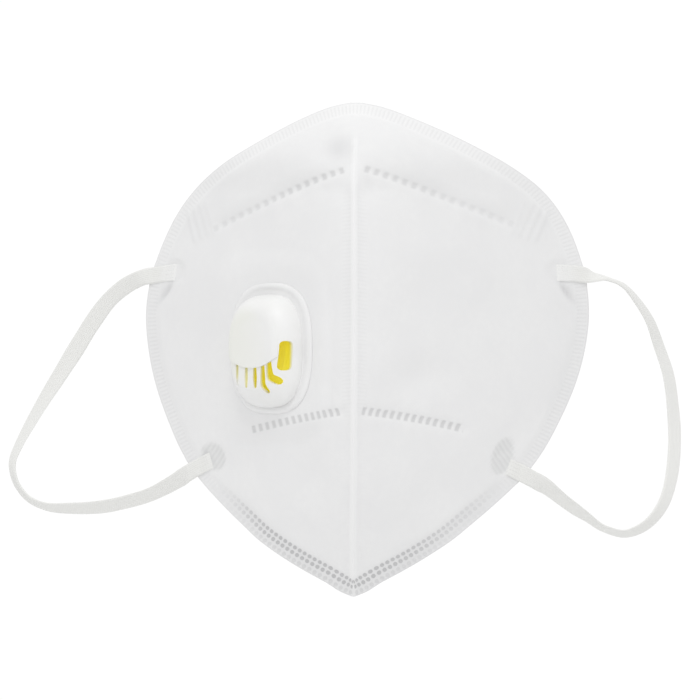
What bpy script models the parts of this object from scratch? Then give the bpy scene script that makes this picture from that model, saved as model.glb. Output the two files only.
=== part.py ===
"""Disposable dust mask: a vertical fold-flat respirator with an exhalation valve and two ear loops.

Frame: +Z up as worn, -Y the way the wearer looks, +Y towards the face. The origin is the middle of the
face opening. Lengths below are in millimetres; every object is made in metres.
The fabric shell is two cupped panels joined along a front seam in the plane x = 0. Each panel has four plies.
"""

import math

import bpy
import numpy as np
from mathutils import Matrix, Vector

MM = 0.001

# ---------------------------------------------------------------- driving dimensions (mm)
HEIGHT = 160.0  # nose tip to chin tip
HALF = HEIGHT / 2
# Half outline seen from the front: (half width, height), from the nose tip round the cheek to the chin tip
OUTLINE = [
    (0.0, 80.0),
    (7.5, 78.9),
    (18.0, 75.0),
    (34.0, 67.2),
    (47.0, 59.4),
    (56.3, 51.5),
    (62.4, 43.2),
    (67.2, 32.8),
    (70.4, 21.5),
    (71.4, 11.5),
    (70.4, 0.5),
    (67.8, -10.7),
    (63.4, -22.3),
    (57.6, -34.0),
    (51.8, -42.0),
    (44.3, -49.8),
    (36.2, -57.3),
    (30.6, -62.2),
    (20.6, -69.0),
    (10.0, -75.0),
    (0.0, -80.0),
]
# How far the front seam stands before the cheek plane y = 0, by height
RIDGE = [(-80, 43), (-60, 56), (-40, 65), (-20, 70.5), (0, 72.5), (20, 72.5), (40, 70), (52, 66), (64, 59), (72, 52), (80, 44)]
# Mean slope of a panel, backwards per millimetre sideways, by height
SLOPE = [(-80, 0.44), (-65, 0.53), (-55, 0.65), (-45, 0.755), (-34, 0.85), (-18, 0.94), (-3, 0.98), (5, 0.99), (16, 1.01), (28, 1.04), (38, 1.05), (45, 1.035), (52, 1.0), (60, 0.965), (68, 0.9), (80, 0.8)]
CROWN = 0.60  # share of the slope that a panel has at the seam; the rest comes with the distance from it
NOSE_R, SEAM_R = 9.0, 0.8  # rounding of the fold over the nose, and along the sharp seam

# Plies: (depth of the outer face, depth of the inner face)
OUTER_WEB = (0.00, 0.40)
FILTER = (0.65, 0.90)
STIFFENER = (1.15, 1.75)
INNER_WEB = (2.00, 2.40)
POCKET = 1.20  # how much deeper the plies under the nose clip lie
SEAM_HALF = 3.0  # half width of the welded front seam
SEAM_T = 1.2

CLIP_W, CLIP_T, CLIP_TOP, CLIP_HALF, CLIP_DROP = 4.0, 0.60, 0.88, 42.0, 8.5
FOAM_W, FOAM_T, FOAM_HALF, FOAM_DROP = 11.0, 3.0, 40.0, 9.5

# Valve, on the wearer's right panel (x < 0)
VALVE_X, VALVE_Z = -29.0, 0.8
OVAL = 2.7  # exponent of the rounded outlines
HOLE = (12.6, 16.6)
NECK_OUT, NECK_IN = (12.2, 16.2), (10.9, 14.9)
SEAT_FLANGE = (17.0, 21.0)
COVER = (14.5, 18.6)
RING_IN, RING_OUT = (14.9, 19.0), (18.2, 21.6)
COVER_H = 9.6
WALL = 1.1
FLAP = (11.5, 15.3)
FLAP_W0, FLAP_T = 1.75, 0.6
FLAP_HINGE_V = 14.4
# Louvre slots as (u, top, bottom); a shallow U of plain plate stays above them
SLOTS = [(-9.3, -2.8, -13.0), (-5.7, -5.4, -16.0), (-1.9, -6.7, -15.0), (1.9, -6.7, -15.0), (5.7, -5.4, -16.0), (9.3, -2.8, -13.0)]
SLOT_W, SLOT_LOW = 1.6, 3.2
WINDOW = (-7.3, 2.3, 3.7, 7.6)  # v low, v high, height low, height high

STRAP_W, STRAP_T = 5.5, 0.9
TAB_LIFT = 0.3
EXIT, GAP = 1.8, 0.5  # how far outside the rim the free band turns, and the gap on each side of that line


# ---------------------------------------------------------------- curves
def table(points):
    """A smooth curve through (x, y) points with x rising, without overshoot (Fritsch and Carlson)."""
    x, y = (np.array(c, float) for c in zip(*points))
    h, d = np.diff(x), np.diff(y) / np.diff(x)
    m = np.concatenate([[d[0]], (d[:-1] + d[1:]) / 2, [d[-1]]])
    for i in range(len(d)):
        if i and d[i - 1] * d[i] <= 0:
            m[i] = 0.0
    for i in range(len(d)):
        if d[i] == 0:
            m[i] = m[i + 1] = 0.0
            continue
        a, b = m[i] / d[i], m[i + 1] / d[i]
        s = a * a + b * b
        if s > 9:
            m[i], m[i + 1] = 3 * a / math.sqrt(s) * d[i], 3 * b / math.sqrt(s) * d[i]

    def at(q):
        q = np.clip(np.asarray(q, float), x[0], x[-1])
        i = np.clip(np.searchsorted(x, q) - 1, 0, len(h) - 1)
        t = (q - x[i]) / h[i]
        return (
            (1 + 2 * t) * (1 - t) ** 2 * y[i]
            + t * (1 - t) ** 2 * h[i] * m[i]
            + t * t * (3 - 2 * t) * y[i + 1]
            + t * t * (t - 1) * h[i] * m[i + 1]
        )

    return at


def through(points, per=12):
    """Points along a smooth curve through the given ones (centripetal Catmull-Rom)."""
    p = np.array(points, float)
    p = np.vstack([2 * p[0] - p[1], p, 2 * p[-1] - p[-2]])
    out = []
    for i in range(1, len(p) - 2):
        a, b, c, d = p[i - 1 : i + 3]
        k = [0.0]
        for q, r in ((a, b), (b, c), (c, d)):
            k.append(k[-1] + np.linalg.norm(r - q) ** 0.5)
        for t in np.linspace(k[1], k[2], per, endpoint=False):
            a1 = (k[1] - t) / (k[1] - k[0]) * a + (t - k[0]) / (k[1] - k[0]) * b
            a2 = (k[2] - t) / (k[2] - k[1]) * b + (t - k[1]) / (k[2] - k[1]) * c
            a3 = (k[3] - t) / (k[3] - k[2]) * c + (t - k[2]) / (k[3] - k[2]) * d
            b1 = (k[2] - t) / (k[2] - k[0]) * a1 + (t - k[0]) / (k[2] - k[0]) * a2
            b2 = (k[3] - t) / (k[3] - k[1]) * a2 + (t - k[1]) / (k[3] - k[1]) * a3
            out.append((k[2] - t) / (k[2] - k[1]) * b1 + (t - k[1]) / (k[2] - k[1]) * b2)
    return np.array(out + [p[-2]])


def evenly(line, n):
    """n points the same distance apart along a line of points."""
    along = np.concatenate([[0], np.cumsum(np.linalg.norm(np.diff(line, axis=0), axis=1))])
    at = np.linspace(0, along[-1], n)
    return np.stack([np.interp(at, along, line[:, k]) for k in range(line.shape[1])], axis=1)


def ramp(q, low, high):
    """0 below low, 1 above high, smooth between."""
    t = np.clip((np.asarray(q, float) - low) / (high - low), 0, 1)
    return t * t * (3 - 2 * t)


MIRRORED = [(-x, z) for x, z in OUTLINE[1:3]][::-1]
RIM = through(MIRRORED + OUTLINE + [(-10.0, -75.0)], 14)
_first = int(np.argmin(np.abs(RIM[:, 0]) + np.abs(RIM[:, 1] - 80)))
_last = int(np.argmin(np.abs(RIM[:, 0]) + np.abs(RIM[:, 1] + 80)))
RIM = RIM[_first : _last + 1]
ridge, slope = table(RIDGE), table(SLOPE)


def half_width(z):
    return np.interp(-np.asarray(z, float), -RIM[:, 1], RIM[:, 0])


def top_edge(x):
    """Height of the mask's upper edge at a distance from the middle."""
    upper = RIM[RIM[:, 1] > 11.5]
    return np.interp(np.abs(x), upper[:, 0], upper[:, 1])


# ---------------------------------------------------------------- the shell's outer surface, as y over (x, z)
def plain(x, z):
    a = np.abs(np.asarray(x, float))
    r = SEAM_R + (NOSE_R - SEAM_R) * ramp(z, 50, 64)
    wide = np.hypot(half_width(z), 12.0)
    return -ridge(z) + slope(z) * (CROWN * (np.sqrt(a * a + r * r) - r) + (1 - CROWN) * a * a / wide)


def _valve_plane():
    e = 9.0
    y = float(plain(VALVE_X, VALVE_Z))
    gx = float(plain(VALVE_X + e, VALVE_Z) - plain(VALVE_X - e, VALVE_Z)) / (2 * e)
    gz = float(plain(VALVE_X, VALVE_Z + e) - plain(VALVE_X, VALVE_Z - e)) / (2 * e)
    return y + 0.3, gx, gz


VALVE_Y, VALVE_GX, VALVE_GZ = _valve_plane()


def surface(x, z):
    """The outer face. It is flat under the valve, because the fabric follows the rigid flange."""
    x, z = np.asarray(x, float), np.asarray(z, float)
    flat = VALVE_Y + VALVE_GX * (x - VALVE_X) + VALVE_GZ * (z - VALVE_Z)
    far = (np.abs((x - VALVE_X) / 15.6) ** 4 + np.abs((z - VALVE_Z) / 22.8) ** 4) ** 0.25
    w = 1 - ramp(far, 1.0, 1.42)
    return plain(x, z) * (1 - w) + flat * w


def outward(x, z):
    """The outer face's normal, pointing away from the wearer."""
    e = 0.25
    x, z = np.asarray(x, float), np.asarray(z, float)
    gx = (surface(x + e, z) - surface(x - e, z)) / (2 * e)
    gz = (surface(x, z + e) - surface(x, z - e)) / (2 * e)
    n = np.stack([gx, -np.ones_like(gx), gz], axis=-1)
    return n / np.linalg.norm(n, axis=-1, keepdims=True)


def inside(x, z, depth):
    """The point at that depth under the outer face at (x, z)."""
    x, z = np.broadcast_arrays(np.asarray(x, float), np.asarray(z, float))
    p = np.stack([x, surface(x, z), z], axis=-1)
    return p - outward(x, z) * np.asarray(depth, float)[..., None]


def pocket(x, z):
    """1 over the nose clip's pocket, 0 away from it."""
    e = top_edge(x) - z
    return ramp(e, 0.8, 4.0) * (1 - ramp(e, 14.0, 19.0)) * (1 - ramp(np.abs(x), 45, 53))


# ---------------------------------------------------------------- objects
MATERIALS = {}


def material(name, rgb, rough, metal=0.0):
    if name not in MATERIALS:
        m = bpy.data.materials.new(name)
        m.use_nodes = True
        b = m.node_tree.nodes["Principled BSDF"]
        b.inputs["Base Color"].default_value = (*rgb, 1)
        b.inputs["Roughness"].default_value = rough
        b.inputs["Metallic"].default_value = metal
        MATERIALS[name] = m
    return MATERIALS[name]


WEB = ("web_white", (0.84, 0.84, 0.84), 0.9)
MEDIA = ("filter_white", (0.90, 0.90, 0.89), 0.95)
FELT = ("stiffener_white", (0.80, 0.80, 0.78), 0.95)
LINING = ("lining_white", (0.88, 0.88, 0.88), 0.9)
CAP = ("valve_white", (0.88, 0.88, 0.86), 0.35)
YELLOW = ("flap_yellow", (0.72, 0.62, 0.05), 0.5)
ALUMINIUM = ("clip_aluminium", (0.80, 0.81, 0.82), 0.35, 1.0)
FOAM = ("foam_grey", (0.55, 0.55, 0.56), 0.95)
ELASTIC = ("elastic_white", (0.82, 0.82, 0.80), 0.85)


def new(name, points, faces, look, parent=None, smooth=True):
    mesh = bpy.data.meshes.new(name)
    mesh.from_pydata([tuple(float(c) * MM for c in p) for p in points], [], faces)
    mesh.materials.append(material(*look))
    mesh.validate()
    if smooth:
        mesh.shade_smooth()
        mesh.set_sharp_from_angle(angle=math.radians(35))
    obj = bpy.data.objects.new(name, mesh)
    bpy.context.scene.collection.objects.link(obj)
    if parent is not None:
        obj.parent = parent
    return obj


def hang(obj, parent):
    """Give an object that is placed in the mask's own axes a parent, without moving it."""
    obj.parent = parent
    obj.matrix_parent_inverse = Matrix.Translation(-parent.location)
    return obj


def slab(name, top, bottom, look, parent=None):
    """A closed solid between two grids of points, top the outer one; both are (rows, columns, 3)."""
    rows, cols = top.shape[:2]
    points = np.concatenate([top.reshape(-1, 3), bottom.reshape(-1, 3)])
    k = rows * cols
    faces = []

    def quad(a, b, c, d):
        faces.extend([(a, b, c), (a, c, d)])

    for i in range(rows - 1):
        for j in range(cols - 1):
            a, b, c, d = i * cols + j, i * cols + j + 1, (i + 1) * cols + j + 1, (i + 1) * cols + j
            pair = [(a, b, c), (a, c, d)] if i < rows // 2 else [(a, b, d), (b, c, d)]
            for f in pair:
                faces.append(f)
                faces.append(tuple(p + k for p in f[::-1]))
    edge = (
        [(0, j) for j in range(cols)]
        + [(i, cols - 1) for i in range(1, rows)]
        + [(rows - 1, j) for j in range(cols - 2, -1, -1)]
        + [(i, 0) for i in range(rows - 2, 0, -1)]
    )
    ring = [i * cols + j for i, j in edge]
    for a, b in zip(ring, ring[1:] + ring[:1]):
        quad(a, a + k, b + k, b)
    a, b, c = (points[[f[k] for f in faces]] for k in range(3))
    if np.einsum("ij,ij->", a - points.mean(axis=0), np.cross(b - points.mean(axis=0), c - points.mean(axis=0))) < 0:
        faces = [f[::-1] for f in faces]  # faces look outwards
    return hang(new(name, points, faces, look), parent)




def ply(name, side, span, look, pocketed, parent, edge=True):
    faces = [ply_face(side, depth, pocketed, edge) for depth in span]
    return slab(name, *faces, look, parent=parent)


def ply_face(side, base, pocketed, edge, rows=23, cols=10):
    """One face of a ply, rows from nose to chin, columns from the seam strip to the rim.

    Without edge it stops short of the rim, where the two webs are welded to each other.
    """
    rim = evenly(RIM[RIM[:, 0] >= SEAM_HALF], rows)
    top, low = rim[0, 1] - 3.5, rim[-1, 1] + 3.0
    q = np.linspace(0, 1, rows)
    zs = top + (low - top) * (0.6 * q + 0.4 * (0.5 - 0.5 * np.cos(np.pi * q)))
    grid = np.zeros((rows, cols + 1 if edge else cols, 3))
    for i in range(rows):
        def clear(z):
            depth = base + (POCKET * float(pocket(SEAM_HALF, z)) if pocketed else 0)
            return SEAM_HALF + max(0.0, float(outward(side * (SEAM_HALF + 1), z)[0]) * side) * depth

        start, end = np.array([clear(zs[i]), zs[i]]), rim[i].copy()
        end[0] = clear(end[1]) if i in (0, rows - 1) else max(end[0], start[0] + 0.02)
        reach = float(np.linalg.norm(end - start))
        t = np.linspace(0, 1 - min(2.0, 0.35 * reach) / reach, cols)
        if edge:
            t = np.append(t, 1.0)
        x, z = (1 - t) * start[0] + t * end[0], (1 - t) * start[1] + t * end[1]
        d = base + (POCKET * pocket(x, z) if pocketed else 0.0)
        grid[i] = inside(side * x, z, np.broadcast_to(d, x.shape))
    return grid


def band_grid(xs, drop, width, depth, cols=3):
    """A strip that follows the mask's upper edge, drop below it."""
    grid = np.zeros((len(xs), cols, 3))
    for i, x in enumerate(xs):
        e = 0.5
        zc = float(top_edge(x)) - drop
        g = (float(top_edge(x + e)) - float(top_edge(x - e))) / (2 * e)
        g *= min(1.0, abs(x) / 6)  # level across the nose, where the edge is rounded
        across = np.array([-g, 1.0]) / math.hypot(g, 1)
        for j, s in enumerate(np.linspace(-0.5, 0.5, cols)):
            px, pz = np.array([x, zc]) + across * s * width
            d = depth + POCKET * float(pocket(px, pz)) if depth > 2 else depth
            grid[i, j] = inside(px, pz, np.array(d))
    return grid


def oval(half, n, v0=0.0, power=OVAL):
    """n points round a superellipse with those half sizes."""
    a = 2 * np.pi * (np.arange(n) + 0.5) / n
    c, s = np.cos(a), np.sin(a)
    return np.stack([half[0] * np.sign(c) * np.abs(c) ** (2 / power), half[1] * np.sign(s) * np.abs(s) ** (2 / power) + v0], axis=1)


def loft(sections, n):
    """Rings of points for (half sizes, height) sections, in the valve's own axes."""
    return [np.column_stack([oval(half, n), np.full(n, w)]) for half, w in sections]


def skin(rings, n, closed_loop=False, cap_first=False, cap_last=False):
    """Faces that join rings in order, optionally round to the first one, or capped."""
    points = np.concatenate(rings)
    faces = []
    pairs = list(zip(range(len(rings) - 1), range(1, len(rings))))
    if closed_loop:
        pairs.append((len(rings) - 1, 0))
    for p, q in pairs:
        for i in range(n):
            j = (i + 1) % n
            faces.append((p * n + i, p * n + j, q * n + j, q * n + i))
    if cap_first:
        faces.append(tuple(range(n))[::-1])
    if cap_last:
        k = (len(rings) - 1) * n
        faces.append(tuple(range(k, k + n)))
    return points, faces


def block(low, high):
    (a, b, c), (d, e, f) = low, high
    p = [(a, b, c), (d, b, c), (d, e, c), (a, e, c), (a, b, f), (d, b, f), (d, e, f), (a, e, f)]
    q = [(0, 3, 2, 1), (4, 5, 6, 7), (0, 1, 5, 4), (1, 2, 6, 5), (2, 3, 7, 6), (3, 0, 4, 7)]
    return np.array(p, float), q


def cut_with(obj, cutter, operation="DIFFERENCE"):
    b = obj.modifiers.new("cut_" + cutter.name, "BOOLEAN")
    b.operation, b.solver, b.object = operation, "EXACT", cutter
    cutter.hide_render = True
    cutter.display_type = "WIRE"
    return b


# ---------------------------------------------------------------- build
def main():
    for o in list(bpy.data.objects):
        bpy.data.objects.remove(o)

    def empty(name, place=(0, 0, 0)):
        e = bpy.data.objects.new(name, None)
        e.location = [c * MM for c in place]
        bpy.context.scene.collection.objects.link(e)
        return e

    # The wearer's left half is x > 0; the right one, x < 0, opens about the upright line through the front seam
    left, right = empty("left_half"), empty("right_half", (0, -72.5, 0))

    # The four plies of each panel
    plies = [
        ("outer_web", OUTER_WEB, WEB, False, True),
        ("filter_media", FILTER, MEDIA, True, False),
        ("stiffener_web", STIFFENER, FELT, True, False),
        ("inner_web", INNER_WEB, LINING, True, True),
    ]
    cloth = {}
    for name, span, look, pocketed, edge in plies:
        for side, word, parent in ((1, "left_cheek", left), (-1, "right_cheek", right)):
            cloth[name, side] = ply(f"{name}_{word}", side, span, look, pocketed, parent, edge)

    # The welded front seam between them, thin over the nose where the clip passes under it
    zs = np.linspace(float(RIM[RIM[:, 0] >= SEAM_HALF][0, 1]), float(RIM[RIM[:, 0] >= SEAM_HALF][-1, 1]), 34)
    xs = np.array([-2.6, -1.3, 0.0, 1.3, 2.6])
    thick = 0.4 + (SEAM_T - 0.4) * (1 - ramp(zs, 44, 52))
    top = np.array([inside(xs, np.full(5, z), np.zeros(5)) for z in zs])
    low = np.array([inside(xs, np.full(5, z), np.full(5, t)) for z, t in zip(zs, thick)])
    slab("front_seam", top, low, WEB, parent=left)

    # Nose clip in its pocket, and the foam strip on the lining under it
    xs = np.linspace(-CLIP_HALF, CLIP_HALF, 33)
    slab("nose_clip", band_grid(xs, CLIP_DROP, CLIP_W, CLIP_TOP), band_grid(xs, CLIP_DROP, CLIP_W, CLIP_TOP + CLIP_T), ALUMINIUM, parent=left)
    xs = np.linspace(-FOAM_HALF, FOAM_HALF, 29)
    start = INNER_WEB[1] + 0.6
    slab("nose_foam", band_grid(xs, FOAM_DROP, FOAM_W, start, 4), band_grid(xs, FOAM_DROP, FOAM_W, start + FOAM_T, 4), FOAM, parent=left)

    # Valve axes: u towards the seam, v up, n away from the wearer
    n = Vector((VALVE_GX, -1.0, VALVE_GZ)).normalized()
    v = (Vector((0, 0, 1)) - n * n.z).normalized()
    u = v.cross(n)
    place = Vector((VALVE_X, VALVE_Y, VALVE_Z))
    axes = Matrix((u, v, n)).transposed().to_4x4()
    axes.translation = place * MM
    valve = hang(empty("valve"), right)
    valve.matrix_basis = axes

    def local(name, points, faces, look, smooth=True):
        return new(name, points, faces, look, valve, smooth)

    # The hole through the plies
    N = 36
    points, faces = skin(loft([(HOLE, -12.0), (HOLE, 8.0)], N), N, cap_first=True, cap_last=True)
    hole = local("hole_cutter", points, faces, CAP, smooth=False)
    for name, *_ in plies:
        cut_with(cloth[name, -1], hole)

    # Seat: inner flange, neck through the fabric, cross bars under the flap, two pegs that hold it
    low = -(INNER_WEB[1] + 0.3)
    rings = loft(
        [(NECK_IN, low - 1.4), (SEAT_FLANGE, low - 1.4), (SEAT_FLANGE, low), (NECK_OUT, low), (NECK_OUT, FLAP_W0 - 0.3), (NECK_IN, FLAP_W0 - 0.3)],
        N,
    )
    points, faces = skin(rings, N, closed_loop=True)
    seat = local("valve_seat", points, faces, CAP)
    bars = [
        ((-0.7, -15.3, -0.9), (0.7, 15.3, 1.2)),
        ((-11.3, 3.9, -0.7), (11.3, 5.1, 1.1)),
        ((-11.3, -5.1, -0.7), (11.3, -3.9, 1.1)),
        ((-6.0, 12.0, -0.8), (6.0, 14.9, 1.3)),
    ]
    for i, (a, b) in enumerate(bars):
        cut_with(seat, local(f"seat_bar_{i}", *block(a, b), CAP, smooth=False), "UNION")
    for i, x in enumerate((-4.5, 4.5)):
        rings = loft([((0.8, 0.8), 0.0), ((0.8, 0.8), 3.2)], 10)
        rings = [r + np.array([x, 13.2, 0]) for r in rings]
        points, faces = skin(rings, 10, cap_first=True, cap_last=True)
        cut_with(seat, local(f"seat_peg_{i}", points, faces, CAP, smooth=False), "UNION")

    # Flap: thin silicone sheet held at its top edge, its own origin on the line it bends about
    hinge = bpy.data.objects.new("flap_hinge", None)
    bpy.context.scene.collection.objects.link(hinge)
    hinge.parent = valve
    mid = FLAP_W0 + FLAP_T / 2
    hinge.location = (0, FLAP_HINGE_V * MM, mid * MM)
    rings = loft([(FLAP, -FLAP_T / 2), (FLAP, FLAP_T / 2)], N)
    rings = [r - np.array([0, FLAP_HINGE_V, 0]) for r in rings]
    points, faces = skin(rings, N, cap_first=True, cap_last=True)
    flap = new("valve_flap", points, faces, YELLOW, hinge, smooth=False)
    for i, x in enumerate((-4.5, 4.5)):
        rings = [r + np.array([x, 13.2 - FLAP_HINGE_V, 0]) for r in loft([((1.5, 1.5), -2.0), ((1.5, 1.5), 2.0)], 10)]
        points, faces = skin(rings, 10, cap_first=True, cap_last=True)
        cut_with(flap, new(f"flap_hole_{i}", points, faces, YELLOW, hinge, smooth=False))

    # Cover: a tapered cap with a flat front, cut by louvre slots below and a window on each side
    a, b = COVER
    outer = [((a, b), 0.3), ((a, b), 1.6), ((a - 0.5, b - 0.5), 4.0), ((a - 1.7, b - 1.8), 6.4), ((a - 3.3, b - 3.5), 8.3), ((a - 5.0, b - 5.3), 9.3), ((a - 6.2, b - 6.6), COVER_H)]
    inner = [
        ((a - 6.9, b - 7.3), COVER_H - WALL),
        ((a - 5.5, b - 5.8), 9.3 - WALL),
        ((a - 4.2, b - 4.4), 7.4),
        ((a - 2.7, b - 2.8), 5.6),
        ((a - 1.5, b - 1.5), 3.5),
        ((a - WALL, b - WALL), 1.7),
        ((NECK_OUT[0] + 0.3, NECK_OUT[1] + 0.3), 1.3),
        ((NECK_OUT[0] + 0.3, NECK_OUT[1] + 0.3), 0.3),
    ]
    n_out = len(outer)
    rings = loft(outer + inner, N)
    points = np.concatenate(rings)
    faces = []
    for k in range(len(rings) - 1):
        if k == n_out - 1:
            continue
        for i in range(N):
            j = (i + 1) % N
            faces.append((k * N + i, k * N + j, (k + 1) * N + j, (k + 1) * N + i))
    last = len(rings) - 1
    for i in range(N):  # the foot, between the outer wall and the inner land
        j = (i + 1) % N
        faces.append((last * N + i, last * N + j, j, i))
    faces.append(tuple(range((n_out - 1) * N, n_out * N)))
    faces.append(tuple(range(n_out * N, (n_out + 1) * N))[::-1])
    cover = local("valve_cover", points, faces, CAP)
    for i, (su, top_v, low_v) in enumerate(SLOTS):
        p, q = block((su - SLOT_W / 2, low_v, SLOT_LOW), (su + SLOT_W / 2, top_v, 12.0))
        cut_with(cover, local(f"slot_{i}", p, q, CAP, smooth=False))
    low_v, high_v, low_w, high_w = WINDOW
    p, q = block((-20, low_v, low_w), (20, high_v, high_w))
    cut_with(cover, local("window", p, q, CAP, smooth=False))

    # Ring that welds the valve to the outer web, round the cover's foot
    rings = loft([(RING_IN, 0.3), (RING_OUT, 0.3), (RING_OUT, 0.9), ((RING_OUT[0] - 0.8, RING_OUT[1] - 0.8), 1.4), (RING_IN, 1.2)], N)
    points, faces = skin(rings, N, closed_loop=True)
    local("valve_weld_ring", points, faces, CAP)

    # Ear loops: two ends welded to the panel and the free band, which turns about the line between its exits
    for side, word, parent in ((1, "left", left), (-1, "right", right)):
        strap(word, side, parent)


# Where each ear loop runs, as (|x|, y, z): the first three and the last three points lie on the panel
LOOP = {
    1: [(73.5, 1.5, 24), (78, 8, 23), (83, 14, 20.5), (87, 19, 16), (91, 24, 9.5), (94, 28.5, 1), (97, 30.5, -8.5), (98.5, 31.5, -20), (99, 31, -30), (98, 28.5, -42), (95.5, 25.5, -50.5), (90.5, 21, -57), (83.5, 14.5, -60), (77, 8, -58.5), (71, 1, -54.5), (64.5, -7, -49.5), (58.5, -15.5, -44.5)],
    -1: [(73.5, 1.5, 23.5), (80, 8.5, 20.5), (85.5, 13, 16), (91, 16.5, 9), (96.5, 19.5, 0.5), (102, 22, -8), (107.5, 24, -16.5), (112, 25, -24), (116, 25, -31.5), (118, 24.5, -37), (117, 23.5, -43), (113, 21.5, -48.5), (106.5, 18, -51.5), (98, 14, -52), (88, 8, -51.5), (78, 1.5, -49.5), (70, -5, -47), (62, -13, -43)],
}
TABS = {
    1: ([(62.0, 25.0), (65.5, 24.8), (69.0, 24.5)], [(54.2, -41.8), (50.8, -39.9), (46.8, -37.8)]),
    -1: ([(61.6, 25.2), (65.1, 24.8), (68.6, 24.3)], [(57.5, -40.2), (53.3, -37.9), (49.0, -35.8)]),
}
# How far the band is turned from lying in the frontal plane, in degrees, at shares of the free length
TWIST = {
    1: [(0, 8), (0.055, 25), (0.075, 55), (0.11, 79), (0.15, 86), (0.19, 77), (0.24, 68), (0.3, 58), (0.36, 51), (0.48, 44), (0.55, 47), (0.6, 51), (0.655, 59), (0.705, 67), (0.75, 66), (0.81, 44), (0.87, 32), (0.93, 12), (1, 8)],
    -1: [(0, 8), (0.07, 18), (0.13, 6), (0.28, 4), (0.34, 20), (0.4, 40), (0.445, 54), (0.49, 63), (0.525, 68), (0.555, 70), (0.595, 67), (0.64, 54), (0.69, 45), (0.755, 39), (0.82, 33), (0.875, 25), (0.935, 8), (1, 8)],
}


def loop_line(side, n=78):
    """The band's centre line, and the unit vector across it at each point."""
    lift = TAB_LIFT + STRAP_T / 2
    top, low = TABS[side]
    on = lambda q: inside(np.array(side * q[0]), np.array(q[1]), np.array(-lift))
    points = [on(q) for q in top] + [np.array([side * x, y, z]) for x, y, z in LOOP[side]] + [on(q) for q in low]
    line = evenly(through(points, 10), n)
    t = np.gradient(line, axis=0)
    t /= np.linalg.norm(t, axis=1)[:, None]
    along = np.linspace(0, 1, n)
    turn = np.radians(table(TWIST[side])(along))
    flat = np.zeros((n, 3))
    for i in range(n):
        front = np.array([0.0, -1.0, 0.0])
        across = np.cross(t[i], front)
        across /= np.linalg.norm(across)
        back = np.cross(across, t[i])
        free = math.cos(turn[i]) * across + math.sin(turn[i]) * back * side
        end = min(along[i], 1 - along[i])
        normal = outward(np.array(line[i, 0]), np.array(line[i, 2]))
        tied = np.cross(t[i], normal)
        tied /= np.linalg.norm(tied)
        if tied @ across < 0:
            tied = -tied
        k = float(ramp(end, 0.062, 0.1))
        w = (1 - k) * tied + k * free
        w -= (w @ t[i]) * t[i]
        flat[i] = w / np.linalg.norm(w)
    return line, flat, t


def strap(word, side, parent):
    line, flat, t = loop_line(side, 160)
    along = np.concatenate([[0], np.cumsum(np.linalg.norm(np.diff(line, axis=0), axis=1))])
    beyond = np.abs(line[:, 0]) - half_width(line[:, 2])
    out = beyond > EXIT
    first, last = int(np.argmax(out)), len(out) - 1 - int(np.argmax(out[::-1]))
    axis = line[first] - line[last]
    axis /= np.linalg.norm(axis)
    up = np.cross(t, flat)
    if up[0] @ outward(line[0, 0], line[0, 2]) < 0:
        up = -up

    turn = bpy.data.objects.new(f"ear_turn_{word}", None)
    turn.location = line[last] * MM
    bpy.context.scene.collection.objects.link(turn)

    def piece(name, low, high, count, square, owner):
        at = np.linspace(low, high, count)
        p, w, h = (np.stack([np.interp(at, along, q[:, k]) for k in range(3)], axis=1) for q in (line, flat, up))
        w *= STRAP_W / 2 / np.linalg.norm(w, axis=1)[:, None]
        h *= STRAP_T / 2 / np.linalg.norm(h, axis=1)[:, None]
        for i in square:  # an end beside the turning line is cut parallel to it
            w[i] = axis * (STRAP_W / 2) ** 2 / (axis @ w[i])
        slab(name, np.stack([p - w + h, p + w + h], axis=1), np.stack([p - w - h, p + w - h], axis=1), ELASTIC, parent=owner)

    piece(f"loop_tab_upper_{word}", 0, along[first] - GAP, 6, [-1], parent)
    piece(f"ear_loop_{word}", along[first] + GAP, along[last] - GAP, 64, [0, -1], turn)
    piece(f"loop_tab_lower_{word}", along[last] + GAP, along[-1], 6, [0], parent)


main()
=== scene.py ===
"""Looks for the disposable dust mask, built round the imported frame. Lengths are in millimetres until a mesh is made."""

import math

import bpy
import numpy as np
from mathutils import Matrix, Vector


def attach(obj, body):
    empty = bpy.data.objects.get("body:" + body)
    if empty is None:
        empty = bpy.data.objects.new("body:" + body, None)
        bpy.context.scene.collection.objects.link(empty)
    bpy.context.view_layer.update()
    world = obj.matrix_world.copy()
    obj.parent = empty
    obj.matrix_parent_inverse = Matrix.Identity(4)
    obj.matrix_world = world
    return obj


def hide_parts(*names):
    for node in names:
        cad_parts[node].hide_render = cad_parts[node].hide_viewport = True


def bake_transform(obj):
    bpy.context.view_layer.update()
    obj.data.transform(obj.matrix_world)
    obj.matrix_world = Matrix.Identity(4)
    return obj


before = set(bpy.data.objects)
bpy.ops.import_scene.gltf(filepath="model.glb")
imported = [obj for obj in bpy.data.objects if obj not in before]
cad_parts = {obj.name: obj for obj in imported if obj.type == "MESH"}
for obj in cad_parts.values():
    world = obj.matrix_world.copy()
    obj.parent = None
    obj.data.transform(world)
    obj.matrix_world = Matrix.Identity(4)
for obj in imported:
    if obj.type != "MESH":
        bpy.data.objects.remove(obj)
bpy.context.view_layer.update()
MM = 0.001

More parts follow.
